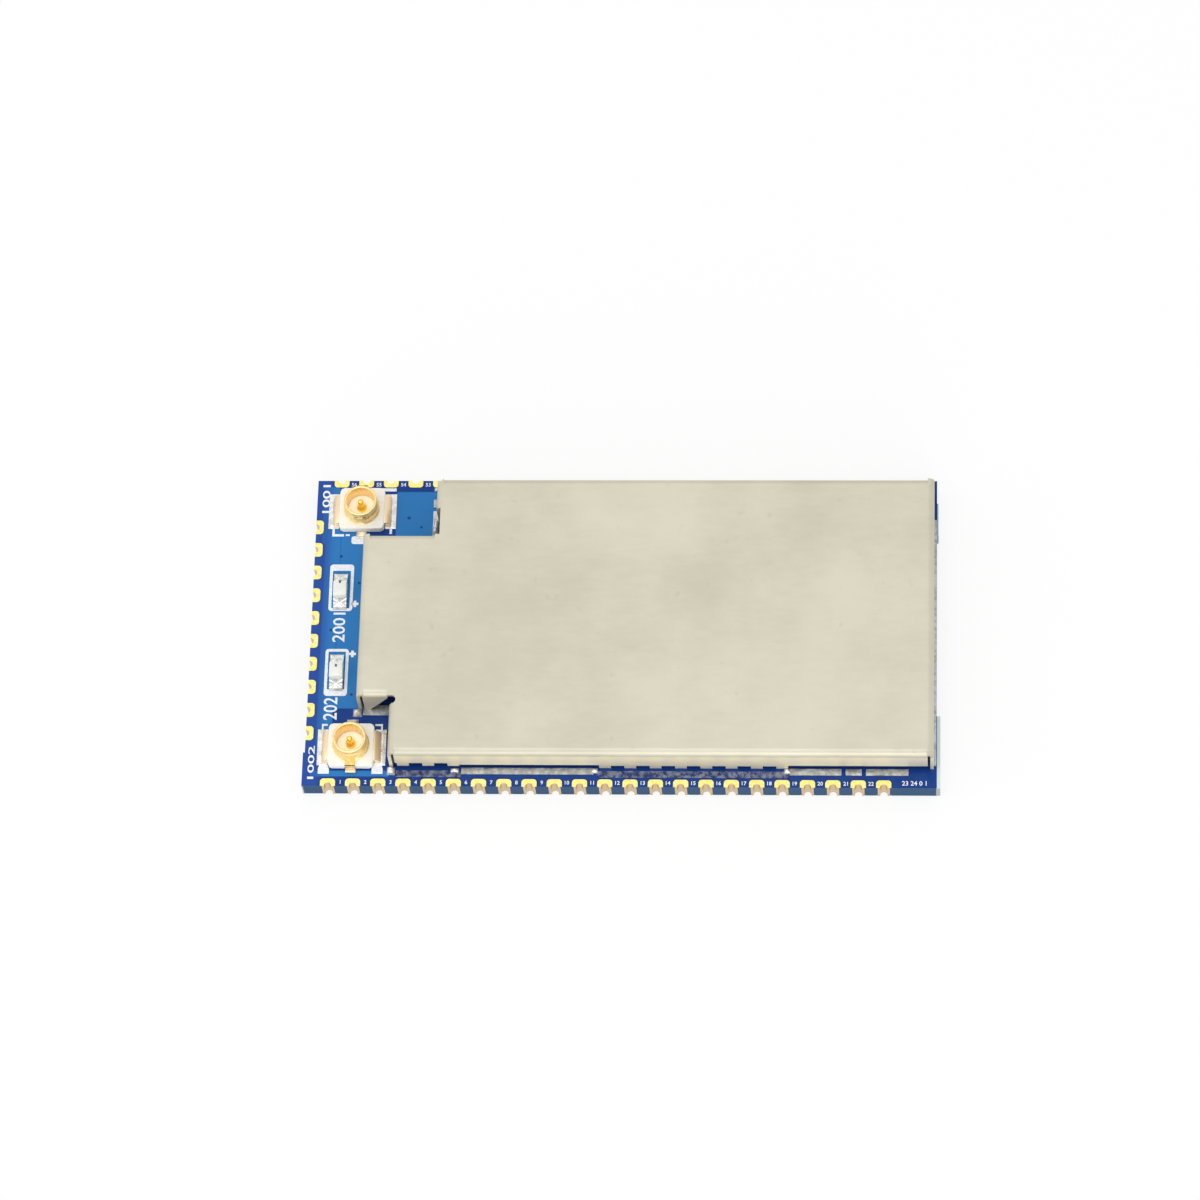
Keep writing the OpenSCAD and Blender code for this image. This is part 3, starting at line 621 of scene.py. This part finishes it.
def land_plate(z):
    """A land with the half-hole's bite, its lower face at this height."""
    plate = bmesh.new()
    inner = HOLE_R - PLATING
    arc = [(-inner * math.cos(a), inner * math.sin(a))
           for a in (math.pi * i / 16 for i in range(17))]
    corner = 0.2
    outline = [(-LAND_W / 2, 0), *arc, (LAND_W / 2, 0)]
    for side, turn in ((1, 0), (-1, math.pi / 2)):
        outline += [(side * (LAND_W / 2 - corner) + corner * math.cos(turn + a),
                     LAND_LEN - corner + corner * math.sin(turn + a))
                    for a in (math.pi / 2 * i / 4 for i in range(5))]
    face = plate.faces.new([plate.verts.new((x, y, z)) for x, y in outline])
    pull_out(plate, [face], (0, 0, LAND_T))
    return plate


def half_tube():
    """The plating of one half-hole."""
    tube = bmesh.new()
    inner = HOLE_R - PLATING
    corners = [(inner, -BOARD_T), (HOLE_R, -BOARD_T), (HOLE_R, 0.0), (inner, 0.0)]
    start = tube.faces.new([tube.verts.new((r, 0, z)) for r, z in corners])
    bmesh.ops.spin(tube, geom=[start, *start.edges, *start.verts], cent=(0, 0, 0),
                   axis=(0, 0, 1), angle=math.pi, steps=20)
    return tube


def pad_row(name, places, turn, node):
    """One row of pads: the same pad at each place, turned to face its edge."""
    row = bmesh.new()
    for x, y in places:
        spot = Matrix.Translation((x, y, 0)) @ Matrix.Rotation(turn, 4, "Z")
        for part in (half_tube(), land_plate(0.0), land_plate(-BOARD_T)):
            add_shape(row, part, spot)
    return finish_piece(name, row, pad_gold, [node])


row_x = [FIRST_X + PITCH * i for i in range(ROW_COUNT)]
side_y = [FIRST_Y + PITCH * i for i in range(SIDE_COUNT)]
pad_row("front_row", [(x, 0) for x in row_x], 0, "front_pads")
pad_row("back_row", [(x, BOARD_D) for x in row_x], math.pi, "back_pads")
pad_row("left_row", [(0, y) for y in side_y], -math.pi / 2, "left_pads")
print("pads:", 2 * ROW_COUNT + SIDE_COUNT)

# %% [markdown]
# ## Coaxial sockets
#
# A micro coaxial socket is a drawn, gold-plated barrel set in a small white
# housing. A groove rolled round the barrel holds the plug. The barrel and the
# centre contact are turned bodies, so each is a half section spun round the
# socket's axis. Side wings slope down to the lands, and the signal lead leaves
# the housing on the side away from the rear tab. On the lead's side the groove
# has two small openings; they are not cut, and the shade inside them is painted
# as dark patches in the barrel's finish. The resin floor inside the barrel is
# given a faint glow, painted light that makes it brighter.

# %% Socket parts
socket_low, socket_high = on_board("socket_1_shell")
SOCKET_X = (socket_low.x + socket_high.x) / 2
BARREL_H = socket_high.z - LAND_T
BARREL_R, BARREL_IN, SKIRT_R = 1.0, 0.84, 1.11
HOUSING_W, HOUSING_H, HOUSING_CUT = 2.72, 0.5, 0.26
WING_T, WING_W, WING_LEN, TAB_W = 0.12, 0.38, 1.9, 0.62
TAB_START, TAB_TOP, TAB_FOOT = 0.95, 0.62, 0.3
PIN_R, COLLAR_R, LEAD_REACH = 0.18, 0.31, 0.35
GROOVE_Z, GROOVE_R = 1.13, 0.92
GROOVE_SIDE = [(BARREL_R, 0.15), (0.975, 0.09), (0.93, 0.04)]  # radius, rise
EASE = 0.03


def barrel():
    """The drawn barrel: skirt, straight wall, rolled groove and rim."""
    top, base = BARREL_H, 0.3
    groove = [*((r, GROOVE_Z - rise) for r, rise in GROOVE_SIDE), (GROOVE_R, GROOVE_Z),
              *((r, GROOVE_Z + rise) for r, rise in reversed(GROOVE_SIDE))]
    rim = [(BARREL_R, top - 0.05), (0.98, top - 0.014), (0.94, top), (0.9, top),
           (0.86, top - 0.014), (BARREL_IN, top - 0.05)]
    inside = [(BARREL_IN, GROOVE_Z + 0.13), (BARREL_IN - 0.02, GROOVE_Z),
              (BARREL_IN, GROOVE_Z - 0.15)]
    return turned([(BARREL_IN, base), (SKIRT_R, base), (SKIRT_R, HOUSING_H + 0.02),
                   (1.05, 0.57), (BARREL_R, 0.68), *groove, *rim, *inside])


def contact_pin():
    """The centre pin with its collar and a domed tip."""
    tip = BARREL_H - 0.08
    dome = [(PIN_R * math.cos(a), tip - PIN_R + PIN_R * math.sin(a))
            for a in (math.pi / 2 * i / 6 for i in range(6))]
    return turned([(0, 0.1), (COLLAR_R, 0.1), (COLLAR_R, 0.7), (COLLAR_R - 0.03, 0.76),
                   (PIN_R + 0.02, 0.95), (PIN_R, 1.0), *dome, (0, tip)], 40)


def housing():
    """The moulded square with cut corners and softened upper edges."""
    body = bmesh.new()
    bmesh.ops.create_cube(body, size=1)
    bmesh.ops.scale(body, vec=(HOUSING_W, HOUSING_W, HOUSING_H), verts=body.verts)
    bmesh.ops.translate(body, vec=(0, 0, HOUSING_H / 2), verts=body.verts)
    upright = [e for e in body.edges if abs(e.verts[0].co.z - e.verts[1].co.z) > 0.1]
    bmesh.ops.bevel(body, geom=upright, offset=HOUSING_CUT, segments=2, profile=0.5,
                    affect="EDGES", material=-1)
    upper = [e for e in body.edges if min(v.co.z for v in e.verts) > HOUSING_H - 0.01]
    bmesh.ops.bevel(body, geom=upper, offset=0.06, segments=3, profile=0.5,
                    affect="EDGES", clamp_overlap=True, material=-1)
    return body


def wings():
    """Side wings that slope down to the lands, and the rear tab."""
    metal = bmesh.new()
    half, reach = HOUSING_W / 2, WING_LEN / 2
    section = [(half - 0.02, 0), (half + WING_W, 0), (half + WING_W, WING_T),
               (half + WING_T, 0.38), (half - 0.02, 0.42)]
    for side in (-1, 1):
        wing = bmesh.new()
        face = wing.faces.new([wing.verts.new((side * x, -reach, z)) for x, z in section])
        pull_out(wing, [face], (0, 2 * reach, 0))
        ease_edges(wing, EASE)
        add_shape(metal, wing)
    for y0, z0, y1, z1 in ((TAB_START, HOUSING_H, half + WING_T, TAB_TOP),
                           (half, 0, half + WING_T, TAB_TOP),
                           (half, 0, half + TAB_FOOT, WING_T)):
        add_block(metal, -TAB_W / 2, y0, z0, TAB_W / 2, y1, z1, EASE)
    return metal


def lead():
    """The signal lead, flat on the board."""
    strip = bmesh.new()
    add_block(strip, -TAB_W / 2, -HOUSING_W / 2 - LEAD_REACH, 0, TAB_W / 2, 0, WING_T, EASE)
    return strip


def place_socket(number, y, turn):
    """Puts the parts of one socket in their place."""
    spot = Matrix.Translation((SOCKET_X, y, LAND_T)) @ Matrix.Rotation(turn, 4, "Z")
    for name, parts, finish, slot, node in (
            ("barrel", (barrel, wings), barrel_gold, "barrel_gold", "shell"),
            ("pin", (contact_pin, lead), contact_gold, "gold_plate", "contact"),
            ("moulding", (housing,), white_resin, "white_resin", "housing")):
        shape = bmesh.new()
        for part in parts:
            add_shape(shape, part(), spot)
        finish_piece(f"socket_{number}_{name}", shape, finish,
                     [f"socket_{number}_{node}"])


SOCKET_Y = {n: sum(c.y for c in on_board(f"socket_{n}_housing")) / 2 for n in (1, 2)}
place_socket(1, SOCKET_Y[1], 0)
place_socket(2, SOCKET_Y[2], math.pi)


def painted_window_shade(finish, offsets=(-0.29, 0.22), half=0.1):
    """Paints shade on two openings in each barrel's groove, on the signal lead's side, as dark
    patches.
    """
    board_coordinates(finish)
    level = finish.h.smooth(1.09, 1.12) * finish.h.smooth(1.22, 1.25, 1, 0)
    for number, side in ((1, -1), (2, 1)):
        ys = sorted(SOCKET_Y[number] + side * r for r in (0.83, 1.05))
        for offset in offsets:
            x = SOCKET_X - side * offset
            spot = within(finish, x - half, x + half, *ys, 0.03)
            # Painted shade: a dark patch where the shade inside an opening would show.
            tint(finish, spot * level * 0.85, srgb(96, 86, 52))


def painted_seat_glow(finish, strength=0.3):
    """Painted light: the resin floor inside each barrel glows a little, so that it looks
    brighter.
    """
    board_coordinates(finish)
    glow_mask = None
    for y in SOCKET_Y.values():
        du, dv = finish.u - SOCKET_X, finish.v - y
        disc = (du * du + dv * dv).smooth(0.6, 0.7, 1, 0)
        glow_mask = disc if glow_mask is None else glow_mask.math("MAXIMUM", disc)
    # Painted light: an emission on the resin floor inside each barrel.
    finish.set("Emission Color", (glow_mask * strength).mix((0, 0, 0, 1), srgb(255, 244, 214)))
    finish.set("Emission Strength", 1.0)


painted_window_shade(barrel_gold)
painted_seat_glow(white_resin)
print("sockets at y", [round(y, 2) for y in SOCKET_Y.values()])

# %% [markdown]
# ## Solder
#
# Solder climbs the side of a foot and thins out over its land, and it is never
# quite even. A mound is a fine grid whose height follows a small formula, with
# a skirt down to the board. The same function makes the fillets beside the
# sockets' wings, the caps on the lamps' ends, the lumps at the can's corners
# and the rough, tinned strips that the can stands on.


# %% Mounds of solder
def add_mound(shape, x0, x1, y0, y1, height, cells=(8, 20), base=0.0):
    """A lump over a rectangle; height(u, v) is in millimetres, u and v from 0 to 1."""
    mound = bmesh.new()
    bmesh.ops.create_grid(mound, x_segments=cells[0], y_segments=cells[1], size=0.5)
    rim = [e for e in mound.edges if e.is_boundary]
    skirt = bmesh.ops.extrude_edge_only(mound, edges=rim)["geom"]
    foot = [v for v in skirt if isinstance(v, bmesh.types.BMVert)]
    bmesh.ops.contextual_create(mound, geom=[e for e in mound.edges if e.is_boundary])
    low = set(foot)
    for vert in mound.verts:
        u, v = vert.co.x + 0.5, vert.co.y + 0.5
        z = base if vert in low else base + max(0.004, height(u, v))
        vert.co = (x0 + u * (x1 - x0), y0 + v * (y1 - y0), z)
    add_shape(shape, mound)


def dome(u, v, power=0.5):
    """1 in the middle of the square and 0 at its rim."""
    return max(0.0, 16 * u * (1 - u) * v * (1 - v)) ** power


def ripple(u, v, seed):
    """A small unevenness between -1 and 1 that differs from lump to lump."""
    return (math.sin(9 * v + seed) + math.sin(7 * u + 13 * v + 2 * seed)
            + math.sin(23 * v - 5 * u + 3 * seed)) / 3


SOLDER_EDGE, SOLDER_REACH = 2.05, 1.15  # from the socket's middle


def wing_fillet(side, seed):
    """Height of the solder on a land: a fillet along the wing, thin at the edges."""
    def height(u, v):
        past_wing = ((u if side > 0 else 1 - u) - 0.5) / 0.5
        fillet = (1 - past_wing) ** 1.4 if past_wing > 0 else 0.0
        ends = min(1, 7 * v, 7 * (1 - v))
        return (0.035 + 0.1 * fillet * ends) * (1 + 0.1 * ripple(u, v, seed))
    return height


def socket_solder(number, y, turn):
    """Fillets on both wings and a little solder at the end of the lead."""
    joint = bmesh.new()
    inner, outer, reach = HOUSING_W / 2 + 0.04, SOLDER_EDGE, SOLDER_REACH
    for side in (-1, 1):
        xs = sorted((side * inner, side * outer))
        add_mound(joint, *xs, -reach, reach, wing_fillet(side, 3 * number + side), (8, 28))
    lead_end = -HOUSING_W / 2 - LEAD_REACH
    add_mound(joint, -0.34, 0.34, lead_end - 0.08, lead_end + 0.16,
              lambda u, v: 0.03 + 0.1 * dome(u, v) * (1 + 0.2 * ripple(u, v, number)))
    spot = Matrix.Translation((SOCKET_X, y, 0)) @ Matrix.Rotation(turn, 4, "Z")
    bmesh.ops.transform(joint, matrix=spot, verts=joint.verts)
    return finish_piece(f"socket_{number}_solder", joint, solder,
                        [f"socket_{number}_lands"], 60)


socket_solder(1, SOCKET_Y[1], 0)
socket_solder(2, SOCKET_Y[2], math.pi)
print("fillets on both sockets")

# %% [markdown]
# ## Strips and lumps at the can
#
# The can stands on tinned strips, which show as a grey line along its walls.
# Lumps of solder hold it where its seams meet the board and at both ends of
# each raised stretch. In front of the feet the tin is thin, dull and rough. All
# of them are mounds over rectangles, so two short lists say where they lie.

# %% Strips and lumps at the can
CAN_FRONT, CAN_BACK, CAN_LEFT = 1.18, 19.12, 3.13
STEP_X, NOTCH_X, NOTCH_Y = 5.13, 7.46, 15.42
FEET_Y, FEET_END = 0.58, 1.0
STRIP_Y, STRIP_W = 0.77, 0.3
STRIPS = [  # x0, x1, y0, y1 of every smooth tinned strip
    (9.4, 17.25, STRIP_Y, CAN_FRONT), (28.9, 31.95, STRIP_Y, CAN_FRONT),
    (32.2, 33.15, STRIP_Y, CAN_FRONT), (33.4, 35.9, STRIP_Y, CAN_FRONT),
    (3.38, 4.97, 4.54, 5.2), (7.1, NOTCH_X, 15.58, 17.95), (7.1, NOTCH_X, 18.2, 18.72),
    (NOTCH_X, NOTCH_X + STRIP_W, 17.2, 18.72), (7.82, 36.8, CAN_BACK - STRIP_W, CAN_BACK),
    (CAN_LEFT, CAN_LEFT + STRIP_W, 5.3, 15.02), (STEP_X, STEP_X + STRIP_W, 1.58, 4.1),
    (3.49, 7.06, NOTCH_Y - STRIP_W, NOTCH_Y), (37.1, 37.54, 1.4, 17.4),
]
strips = bmesh.new()
for x0, x1, y0, y1 in STRIPS:
    add_mound(strips, x0, x1, y0, y1,
              lambda u, v: 0.05 + 0.012 * ripple(u * (x1 - x0), v * (y1 - y0), x0),
              (max(4, int(4 * (x1 - x0))), max(4, int(4 * (y1 - y0)))))
finish_piece("tinned_strips", strips, tin, ["shield_lands"], 60)

feet = bmesh.new()
for x0, x1 in ((5.49, 9.4), (17.5, 28.9)):
    count = round((x1 - x0) / 0.1)
    add_mound(feet, x0, x1, FEET_Y, FEET_END,
              lambda u, v: 0.03 + 0.03 * abs(ripple(9 * u, 2 * v, 40 * u + x0)), (count, 5))
finish_piece("foot_solder", feet, flux_tin, (), 60)

LUMPS = [  # x, y, width, depth and height of every lump of solder
    (5.2, 0.95, 0.5, 0.5, 0.42), (3.05, 4.68, 0.55, 0.5, 0.36), (7.28, 16.62, 0.42, 0.62, 0.42),
    (7.3, 17.1, 0.32, 0.6, 0.3), (9.0, 1.02, 0.5, 0.3, 0.16), (17.32, 1.02, 0.4, 0.34, 0.22),
    (28.75, 1.02, 0.4, 0.34, 0.22), (7.3, 19.4, 0.4, 0.24, 0.14),
]
lumps = bmesh.new()
for x, y, wide, deep, high in LUMPS:
    add_mound(lumps, x - wide / 2, x + wide / 2, y - deep / 2, y + deep / 2,
              lambda u, v: high * dome(u, v, 0.6) * (1 + 0.12 * ripple(u, v, 5 * x)), (12, 12))
finish_piece("corner_solder", lumps, solder, ["shield_solder"], 60)
print("strips:", len(STRIPS), "lumps:", len(LUMPS))

# %% [markdown]
# ## Indicator lamps
#
# Each lamp is a white base with metal ends under a block of milky resin. Seen
# from above, the solder on both ends shows as a bright cross, and the die's
# bond pad shows through as one dark dot. The lens keeps the node's place but
# gets softened edges.


# %% Lamps
CAP_HALF, CAP_START, CAP_END = 0.4, 0.56, 1.08


def lamp_pieces(number, turn, bond_y):
    low, high = on_board(f"lamp_{number}_base")
    middle = (low + high) / 2
    spot = Matrix.Translation((middle.x, middle.y, 0)) @ Matrix.Rotation(turn, 4, "Z")
    lens = merged_node(f"lamp_{number}_lens")
    ease_edges(lens, 0.035)
    finish_piece(f"lamp_{number}_resin", lens, lens_resin,
                 [f"lamp_{number}_lens"])
    caps = bmesh.new()
    for side in (-1, 1):
        ys = sorted((side * CAP_START, side * CAP_END))
        add_mound(caps, -CAP_HALF, CAP_HALF, *ys,
                  lambda u, v: lamp_cross(u, v, side), (14, 10))
    bmesh.ops.transform(caps, matrix=spot, verts=caps.verts)
    finish_piece(f"lamp_{number}_solder", caps, solder, (), 60)
    bond = bmesh.new()
    top = on_board(f"lamp_{number}_lens")[1].z
    add_block(bond, -0.08, bond_y - 0.1, top - 0.05, 0.08, bond_y + 0.1, top + 0.004, 0.02)
    bmesh.ops.transform(bond, matrix=spot, verts=bond.verts)
    finish_piece(f"lamp_{number}_bond_pad", bond, lamp_die)


def lamp_cross(u, v, side):
    """Solder on a lamp's end: two crossing ridges that fall towards the board."""
    away = v if side > 0 else 1 - v
    ridge = max(math.exp(-((u - away) * 6) ** 2), math.exp(-((1 - u - away) * 6) ** 2))
    return 0.3 - 0.1 * away + 0.05 * ridge


lamp_pieces(1, 0, 0.4)
lamp_pieces(2, math.pi, -0.22)
print("lamps dressed")

# %% [markdown]
# ## Printed marks
#
# White ink is screen printed on the mask: a frame round each lamp, brackets at
# the sockets' corners, small crosses for polarity, and numbers. The ink is
# a real layer, a hundredth of a millimetre thick, so every mark is a thin solid.
# The numbers start as text objects, are made meshes, and only then are moved to
# their places.

# %% Marks
INK = 0.012
LINE, THICK_LINE = 0.18, 0.42
PIN_DIGIT, PIN_INSET = 0.24, 0.26
ink = moulded("white_ink", srgb(250, 252, 255), srgb(226, 234, 244), 0.6, 0.004)
marks = bmesh.new()


def bar(x0, y0, x1, y1):
    add_block(marks, x0, y0, 0, x1, y1, INK)


def rounded(x0, y0, x1, y1, radius, steps=4):
    """The outline of a rectangle with round corners."""
    centres = [(x1 - radius, y1 - radius), (x0 + radius, y1 - radius),
               (x0 + radius, y0 + radius), (x1 - radius, y0 + radius)]
    return [(x + radius * math.cos(a), y + radius * math.sin(a))
            for quarter, (x, y) in enumerate(centres)
            for a in (math.pi / 2 * (quarter + i / steps) for i in range(steps + 1))]


def ink_patch(outline):
    """A patch of ink with this outline."""
    patch = bmesh.new()
    face = patch.faces.new([patch.verts.new((x, y, 0)) for x, y in outline])
    pull_out(patch, [face], (0, 0, INK))
    add_shape(marks, patch)


def lamp_frame(x0, x1, y0, y1, thick_back):
    """A round-cornered frame with one thick end, which marks the lamp's cathode."""
    back, front = (THICK_LINE, LINE) if thick_back else (LINE, THICK_LINE)
    ring, edges = bmesh.new(), []
    for outline in (rounded(x0, y0, x1, y1, 0.2),
                    rounded(x0 + LINE, y0 + front, x1 - LINE, y1 - back, 0.05)):
        verts = [ring.verts.new((x, y, 0)) for x, y in outline]
        edges += [ring.edges.new(pair) for pair in zip(verts, verts[1:] + verts[:1])]
    pull_out(ring, bmesh.ops.bridge_loops(ring, edges=edges)["faces"], (0, 0, INK))
    add_shape(marks, ring)


def plus(x, y, reach=0.21, half=0.08):
    """A cross, as one outline of twelve corners."""
    arm, outline = [(half, reach), (half, half), (reach, half)], []
    for _ in range(4):
        outline += arm
        arm = [(b, -a) for a, b in arm]
    ink_patch([(x + a, y + b) for a, b in outline])


def number_mark(text, x, y, high, long=None, turn=0.0):
    """Digits as a thin solid, their middle at x, y, this high and this long."""
    curve = bpy.data.curves.new("digits", "FONT")
    curve.body = text
    curve.extrude, curve.offset, curve.resolution_u = INK / 2, 0.012, 3
    holder = bpy.data.objects.new("digits", curve)
    bpy.context.scene.collection.objects.link(holder)
    bpy.context.view_layer.update()
    seen = holder.evaluated_get(bpy.context.evaluated_depsgraph_get())
    mesh = bpy.data.meshes.new_from_object(seen)
    part = bmesh.new()
    part.from_mesh(mesh)
    bmesh.ops.remove_doubles(part, verts=part.verts, dist=0.0005)
    xs, ys = ([v.co[i] for v in part.verts] for i in (0, 1))
    tall = high / (max(ys) - min(ys))
    wide = long / (max(xs) - min(xs)) if long else tall
    centre = Matrix.Translation((-(max(xs) + min(xs)) / 2, -(max(ys) + min(ys)) / 2, 0))
    spot = (Matrix.Translation((x, y, INK / 2)) @ Matrix.Rotation(turn, 4, "Z")
            @ Matrix.Diagonal((wide, tall, 1, 1)) @ centre)
    add_shape(marks, part, spot)
    bpy.data.objects.remove(holder)
    bpy.data.curves.remove(curve)
    bpy.data.meshes.remove(mesh)


lamp_frame(0.98, 2.43, 11.35, 14.42, True)
lamp_frame(0.95, 2.35, 5.8, 8.86, False)
plus(2.58, 11.82)
plus(2.57, 8.54)
SOCKET_MARKS = [  # x0, y0, x1, y1 of the plain bars round the sockets
    (1.0, 16.28, 1.14, 16.85), (1.14, 16.28, 1.71, 16.43), (1.82, 16.31, 2.06, 16.43),
    (4.47, 16.45, 4.62, 16.86), (3.59, 19.29, 4.79, 19.5),
    (0.95, 3.5, 1.05, 3.98), (1.05, 3.86, 1.3, 3.98), (4.5, 3.5, 4.6, 3.98),
    (4.15, 3.86, 4.5, 3.98),
]
for bounds_mm in SOCKET_MARKS:
    bar(*bounds_mm)
ink_patch(rounded(2.18, 15.78, 3.1, 16.3, 0.16))
for x0, x1, x2, x3 in ((0.83, 0.95, 1.3, 1.49), (4.04, 4.2, 4.58, 4.7)):
    ink_patch([(x0, 0.78), (x3, 0.78), (x3, 1.08), (x2, 1.58), (x1, 1.58), (x0, 1.08)])
NUMBERS = [  # digits, x, y, height and length of the numbers that read upwards
    ("2001", 1.68, 10.28, 0.75, 1.93), ("202", 1.4, 4.97, 0.83, 1.46),
    ("1001", 0.54, 18.78, 0.46, 1.87), ("1002", 0.4, 1.5, 0.38, 2.12),
]
for number in NUMBERS:
    number_mark(*number, math.pi / 2)
for i in range(ROW_COUNT - 1):
    middle = FIRST_X + PITCH * (i + 0.5)
    number_mark(str(i + 1), middle, PIN_INSET, PIN_DIGIT)
    last = 2 * ROW_COUNT + SIDE_COUNT
    number_mark(str(last - i), middle, BOARD_D - PIN_INSET, PIN_DIGIT)
number_mark("23 24 0 1", 36.25, 0.3, 0.29)
finish_piece("printed_marks", marks, ink, (), 60)
print("marks printed")

# %% [markdown]
# ## Floor and light
#
# The module lies on a plain white floor. To a camera ray, a mirror ray or a
# ray through glass, the floor and the world are plain white; to every other
# ray the floor is a pale surface that takes the object's soft shadow. Three
# large soft lamps light it from above, the left and the front.


# %% Floor
def floor_finish():
    finish = Finish("floor", (0.97, 0.97, 0.97, 1), 0.9)
    tree = finish.tree
    rays = tree.nodes.new("ShaderNodeLightPath")
    sees = Wave(tree, rays.outputs["Is Camera Ray"])
    for ray in ("Is Glossy Ray", "Is Transmission Ray"):
        sees = sees.math("MAXIMUM", Wave(tree, rays.outputs[ray]))
    glow = tree.nodes.new("ShaderNodeEmission")
    glow.inputs["Color"].default_value = (1, 1, 1, 1)
    glow.inputs["Strength"].default_value = 1.0
    mix = tree.nodes.new("ShaderNodeMixShader")
    tree.links.new((sees * 0.8).socket, mix.inputs[0])
    tree.links.new(finish.shader.outputs[0], mix.inputs[1])
    tree.links.new(glow.outputs[0], mix.inputs[2])
    tree.links.new(mix.outputs[0], tree.nodes["Material Output"].inputs["Surface"])
    return finish


def make_floor(half=1.2):
    mesh = bpy.data.meshes.new("floor")
    shape = bmesh.new()
    bmesh.ops.create_grid(shape, x_segments=1, y_segments=1, size=half)
    bmesh.ops.translate(shape, verts=shape.verts, vec=(0, 0, -0.00002))
    shape.to_mesh(mesh)
    shape.free()
    mesh.materials.append(floor_finish().material)
    floor = bpy.data.objects.new("floor", mesh)
    bpy.context.scene.collection.objects.link(floor)
    return floor


print("floor:", make_floor().name)

# %% [markdown]
# ## World and lamps
#
# To the camera and in mirrors the world is as white as the floor, and as a
# light it is a little dimmer. A lamp's brightness is that of its panel, where 1
# is as bright as the floor, and its power is worked out from its area.

# %% World and lamps
def make_world(strength):
    world = bpy.data.worlds.new("studio")
    bpy.context.scene.world = world
    world.use_nodes = True
    tree = world.node_tree
    rays = tree.nodes.new("ShaderNodeLightPath")
    sees = Wave(tree, rays.outputs["Is Camera Ray"])
    for ray in ("Is Glossy Ray", "Is Transmission Ray"):
        sees = sees.math("MAXIMUM", Wave(tree, rays.outputs[ray]))
    background = tree.nodes["Background"]
    background.inputs["Color"].default_value = (1, 1, 1, 1)
    power = sees.smooth(0.25, 0.75, strength, 1.0)
    tree.links.new(power.socket, background.inputs["Strength"])


def soft_lamp(name, location_mm, target_mm, size_mm, brightness):
    """A square panel of this brightness, where 1 is as bright as the white floor."""
    data = bpy.data.lights.new(name, "AREA")
    data.shape = "RECTANGLE"
    data.size, data.size_y = (s * MM for s in size_mm)
    data.energy = brightness * math.pi * data.size * data.size_y
    lamp = bpy.data.objects.new(name, data)
    lamp.location = Vector(location_mm) * MM
    aim = Vector(target_mm) * MM - lamp.location
    lamp.rotation_euler = aim.to_track_quat("-Z", "Y").to_euler()
    bpy.context.scene.collection.objects.link(lamp)
    return lamp


make_world(0.75)
soft_lamp("lamp_above", (-60, -60, 480), (0, 0, 0), (300, 300), 1.6)
soft_lamp("lamp_left", (-380, -60, 240), (0, 0, 0), (240, 240), 1.2)
soft_lamp("lamp_front", (60, -420, 120), (0, 0, 0), (320, 190), 2.8)
bpy.context.scene.view_settings.view_transform = "Standard"
print("world and three lamps")
